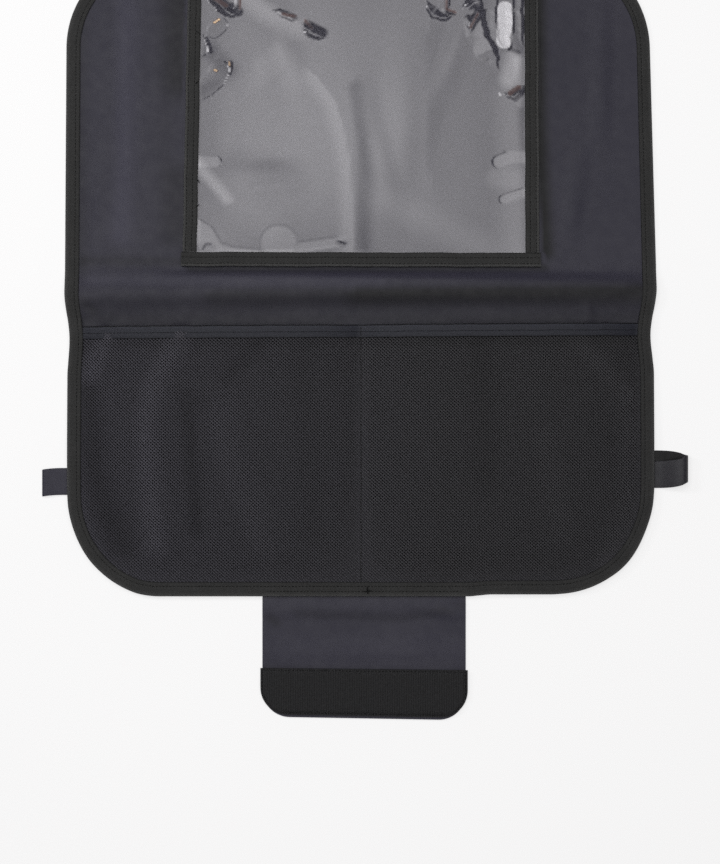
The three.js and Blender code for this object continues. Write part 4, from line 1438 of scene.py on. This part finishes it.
def rounded_half(v, end, half, radius):
    """Half the width of a strip at v, where its end has round corners.

    A corner adds the root of the radius squared less the squared way left to its end.
    """
    rest = radius - np.clip(v - end, 0, radius)
    return half - radius + np.sqrt(np.maximum(0, radius**2 - rest**2))


def end_spaced(start, stop, radius, corner_steps, straight_steps):
    """Places from start to stop, close together round the corners at the start."""
    turn = np.linspace(0, math.pi / 2, corner_steps, endpoint=False)
    corner = start + radius * (1 - np.cos(turn))
    return np.concatenate([corner, np.linspace(start + radius, stop, straight_steps)])[:, None]


def tab_level(x, v):
    """Height of the tab's underside: a soft fold by the binding, then slight ripples."""
    crest = -TAB_FOLD_WIDTH / 2 - EASE
    above_strip = ramp(-TAB_LENGTH + TAB_HELD_TO, -TAB_LENGTH + TAB_FREE_FROM, v)
    free = ramp(0, -3, v) * above_strip
    fold = TAB_FOLD_HEIGHT * bump(crest, TAB_FOLD_WIDTH / 2, v)
    return fold + free * ridges(x + TAB_OFFSET, v, TAB_WAVES)


tab_v = end_spaced(-TAB_LENGTH, ROOT_LENGTH, TAB_CORNER, 14, 70)
tab_half = rounded_half(tab_v, -TAB_LENGTH, TAB_WIDTH / 2, TAB_CORNER)
tab_x = tab_half * np.linspace(-1, 1, 101)[None, :]
tab_bottom = tab_level(tab_x, tab_v)
tab = add_piece(
    "tab_cloth",
    sheet_skin(place_on_tab, tab_x, tab_v, tab_bottom + ROOT_STACK, tab_bottom),
    coated_cloth,
    ["tab_panel"],
)
keep_painted_light(tab, TAB_LIGHT_AND_SHADE)


# Fastener: a wide strip of hook-and-loop tape sewn round its edge onto the tab's end.
# Its pile stands in fine ribs along the tab, with a smooth selvedge round it.
fastener_low, fastener_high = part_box("tab_fastener")
FASTENER_WIDTH = (fastener_high.x - fastener_low.x) / MM
FASTENER_DEPTH, FASTENER_LIP, FASTENER_THICKNESS = 36.5, 2, 1.7
SELVEDGE, PILE_HEIGHT = 2.2, 0.75
PILE_COLOURS = ((0.004, 0.004, 0.0045), (0.018, 0.018, 0.0195))


def pile_material():
    """Hook pile: rows of tiny stiff hooks in ribs, black between them."""
    material, tree, shader = new_material("hook_pile", 0.7, 0.25)
    place = add_node(tree, "ShaderNodeTexCoord").outputs["Object"]
    ribs = stripes(tree, place, "X", 1.35)
    hooks = add_node(
        tree,
        "ShaderNodeTexVoronoi",
        {"Vector": place, "Scale": 1 / (0.8 * MM)},
        feature="F1",
    ).outputs["Distance"]
    surface = blend(tree, "MIX", ribs, hooks, 0.5)
    tone = colour_ramp(tree, surface, [(0.2, PILE_COLOURS[0]), (0.7, PILE_COLOURS[1])])
    tree.links.new(tone, shader.inputs["Base Color"])
    relief(tree, shader, surface, 0.35)
    return material


hook_pile = pile_material()
strip_end = FASTENER_LIP - TAB_LENGTH
strip_v = end_spaced(strip_end, strip_end + FASTENER_DEPTH, TAB_CORNER, 16, 24)
strip_half = rounded_half(strip_v, strip_end, FASTENER_WIDTH / 2, TAB_CORNER)
strip_share = np.sin(np.linspace(-math.pi / 2, math.pi / 2, 121))[None, :]
strip_x = strip_half * strip_share
strip_in = np.minimum(
    strip_half - np.abs(strip_x),
    np.minimum(strip_v - strip_end, strip_end + FASTENER_DEPTH - strip_v),
)
strip_pile = PILE_HEIGHT * ramp(SELVEDGE - 0.6, SELVEDGE + 0.8, strip_in)
strip_bottom = ROOT_STACK + EASE
strip_top = strip_bottom + FASTENER_THICKNESS - PILE_HEIGHT + strip_pile
add_piece(
    "fastener_strip",
    sheet_skin(place_on_tab, strip_x, strip_v, strip_top, strip_bottom),
    hook_pile,
    ["tab_fastener"],
)


def strip_outline(inset):
    """A line round the strip, inset from its edge, with its two lower corners round."""
    half = FASTENER_WIDTH / 2 - inset
    low, high = strip_end + inset, strip_end + FASTENER_DEPTH - inset
    radius = TAB_CORNER - inset
    turn = np.linspace(0, math.pi / 2, 12)
    right_x = half - radius + radius * np.sin(turn)
    right_v = low + radius * (1 - np.cos(turn))
    x = np.concatenate([[-half, half], right_x[::-1], -right_x, [-half]])
    v = np.concatenate([[high, high], right_v[::-1], right_v, [high]])
    return x, v


round_x, round_v = strip_outline(1.5)
round_line = place_on_tab(round_x, round_v, strip_bottom + FASTENER_THICKNESS - 0.72)
root_x = np.linspace(-TAB_WIDTH / 2 + 2, TAB_WIDTH / 2 - 2, 60)
root_v = np.full_like(root_x, 3.2)
root_line = lay(root_x + TAB_OFFSET, root_v, binding_top(root_v) - 0.02)
add_piece(
    "tab_stitches",
    join_skins(
        [
            stitch_row(round_line, (0, 0, 1), 2.8, thread=0.45, seed=50),
            stitch_row(root_line, (0, 0, 1), 2.6, thread=0.42, seed=51),
        ]
    ),
    sewing_thread,
)


# Loose thread ends: short cut ends beside the window's left tape, and a knot where the
# divider seam meets the binding. They are the ends of the sewing thread, left by the machine.
CUT_LEVEL, KNOT_LEVEL = FRAME_TOP + 0.2, 4.1
LOOSE_ENDS = (
    {"pixels": ((196, 32), (201, 36)), "thread": 0.6, "level": CUT_LEVEL},
    {"pixels": ((195, 85), (200, 82)), "thread": 0.6, "level": CUT_LEVEL},
    {"pixels": ((197, 179), (200, 184)), "thread": 0.7, "level": CUT_LEVEL},
    {"pixels": ((196, 208), (200, 205)), "thread": 0.6, "level": CUT_LEVEL},
    {"pixels": ((367, 586), (368, 594)), "thread": 1.0, "level": KNOT_LEVEL},
    {"pixels": ((364, 591), (372, 590)), "thread": 1.1, "level": KNOT_LEVEL},
)

loose_skins = []
for loose in LOOSE_ENDS:
    pixels = np.array([from_photo(*pixel) for pixel in loose["pixels"]])
    line = lay(pixels[:, 0], pixels[:, 1], loose["level"])
    length = np.linalg.norm(line[1] - line[0]) / MM
    loose_skins.append(
        stitch_row(line, (0, 0, 1), length, thread=loose["thread"], share=0.98, seed=60)
    )
add_piece("loose_ends", join_skins(loose_skins), sewing_thread)


# Side loops: a strap of doubled coated cloth folded into a loop under each side edge.
# The left one lies pressed flat. The right one stands open, its two ends a little apart.
STRAP_WIDTH = 21
HALF_SECTION = ((0.45, 1), (0.9, 1), (0.97, 0.8), (1, 0.35))
STRAP_COLOURS = ((0.0245, 0.024, 0.029), (0.029, 0.0285, 0.034))
# Along the strap: painted shade on its first 33 mm, from its root out along the lower ply, which
# lies inside the open loop.
STRAP_SHADE_TONES = ((33, 0.12), (36, 1))
LOOPS = {
    "left": {"side": -1, "reach": 20.4, "height": 3.4, "low": 88.6, "tip": 87.3, "high": 88.6},
    "right": {"side": 1, "reach": 26.8, "height": 9.6, "low": 102.3, "tip": 98.6, "high": 94},
}


def loop_line(loop):
    """The strap's middle line: places outwards, heights and places up the mat.

    It runs out along the ground, round a half circle, and back in a smooth S to the edge.
    """
    low = STRAP_THICKNESS / 2
    high = loop["height"] - low
    root_high = ROOT_STACK - low
    radius = (high - low) / 2
    fold_out = loop["reach"] - low - radius
    start_out = EASE + TAPE_THICKNESS + 1
    turn = np.linspace(-math.pi / 2, math.pi / 2, 25)
    lower_out = np.linspace(-ROOT_LENGTH, fold_out, 14, endpoint=False)
    upper_share = np.linspace(0, 1, 22)[1:]
    upper_out = fold_out + (start_out - fold_out) * upper_share
    smooth = (1 - upper_share) ** 2 * (1 + 2 * upper_share)
    fold = fold_out + radius * np.cos(turn)
    fold_z = low + radius + radius * np.sin(turn)
    upper_z = root_high + (high - root_high) * smooth
    out = np.concatenate([lower_out, fold, upper_out, [-ROOT_LENGTH]])
    z = np.concatenate([0 * lower_out + low, fold_z, upper_z, [root_high]])
    back = np.concatenate([0 * lower_out, turn / math.pi + 0.5, 0 * upper_out + 1, [1]])
    along = ramp(0, loop["reach"], out) ** 3
    lower_v = loop["low"] + (loop["tip"] - loop["low"]) * along
    upper_v = loop["high"] + (loop["tip"] - loop["high"]) * along
    return out, z, lower_v + (upper_v - lower_v) * back


def strap_loop(name, loop, material):
    """The strap carried along its middle line, with thinned, rounded long edges."""
    out, z, v = loop_line(loop)
    travel = np.stack([np.gradient(out), np.gradient(z)], axis=-1)
    travel /= np.linalg.norm(travel, axis=-1, keepdims=True)
    outwards = [(-at, full) for at, full in HALF_SECTION[::-1]]
    share, fullness = np.array([*outwards, (0, 1), *HALF_SECTION]).T
    half = STRAP_THICKNESS / 2 * fullness
    edge = HALF_WIDTH - draw_in(loop["side"], (loop["low"] + loop["high"]) / 2)
    across = share * STRAP_WIDTH / 2

    def layer(sign):
        """One face of the strap, half its thickness out from the middle line."""
        place = out[:, None] - travel[:, 1:] * half * sign
        level = z[:, None] + travel[:, :1] * half * sign
        laid_x = loop["side"] * (edge + place)
        laid = np.stack(np.broadcast_arrays(laid_x, v[:, None] + across, level), axis=-1)
        return (laid * MM + np.array([ORIGIN_X, ORIGIN_Y, 0]))[None]

    steps = np.hypot(np.diff(out), np.diff(z))
    length = np.concatenate([[0], np.cumsum(steps)])[:, None]
    skin = double_sheets(layer(1), layer(-1), across * MM, length * MM)
    add_piece(f"loop_strap_{name}", skin, material, [f"side_loop_{name}"])


# The right loop's cloth has painted shade on its lower ply, inside the loop.
strap_cloth_shaded_inside = cloth_material("strap_cloth_shaded_inside", STRAP_COLOURS, STRAP_SHADE_TONES)
for name, material in (("left", coated_cloth), ("right", strap_cloth_shaded_inside)):
    strap_loop(name, LOOPS[name], material)
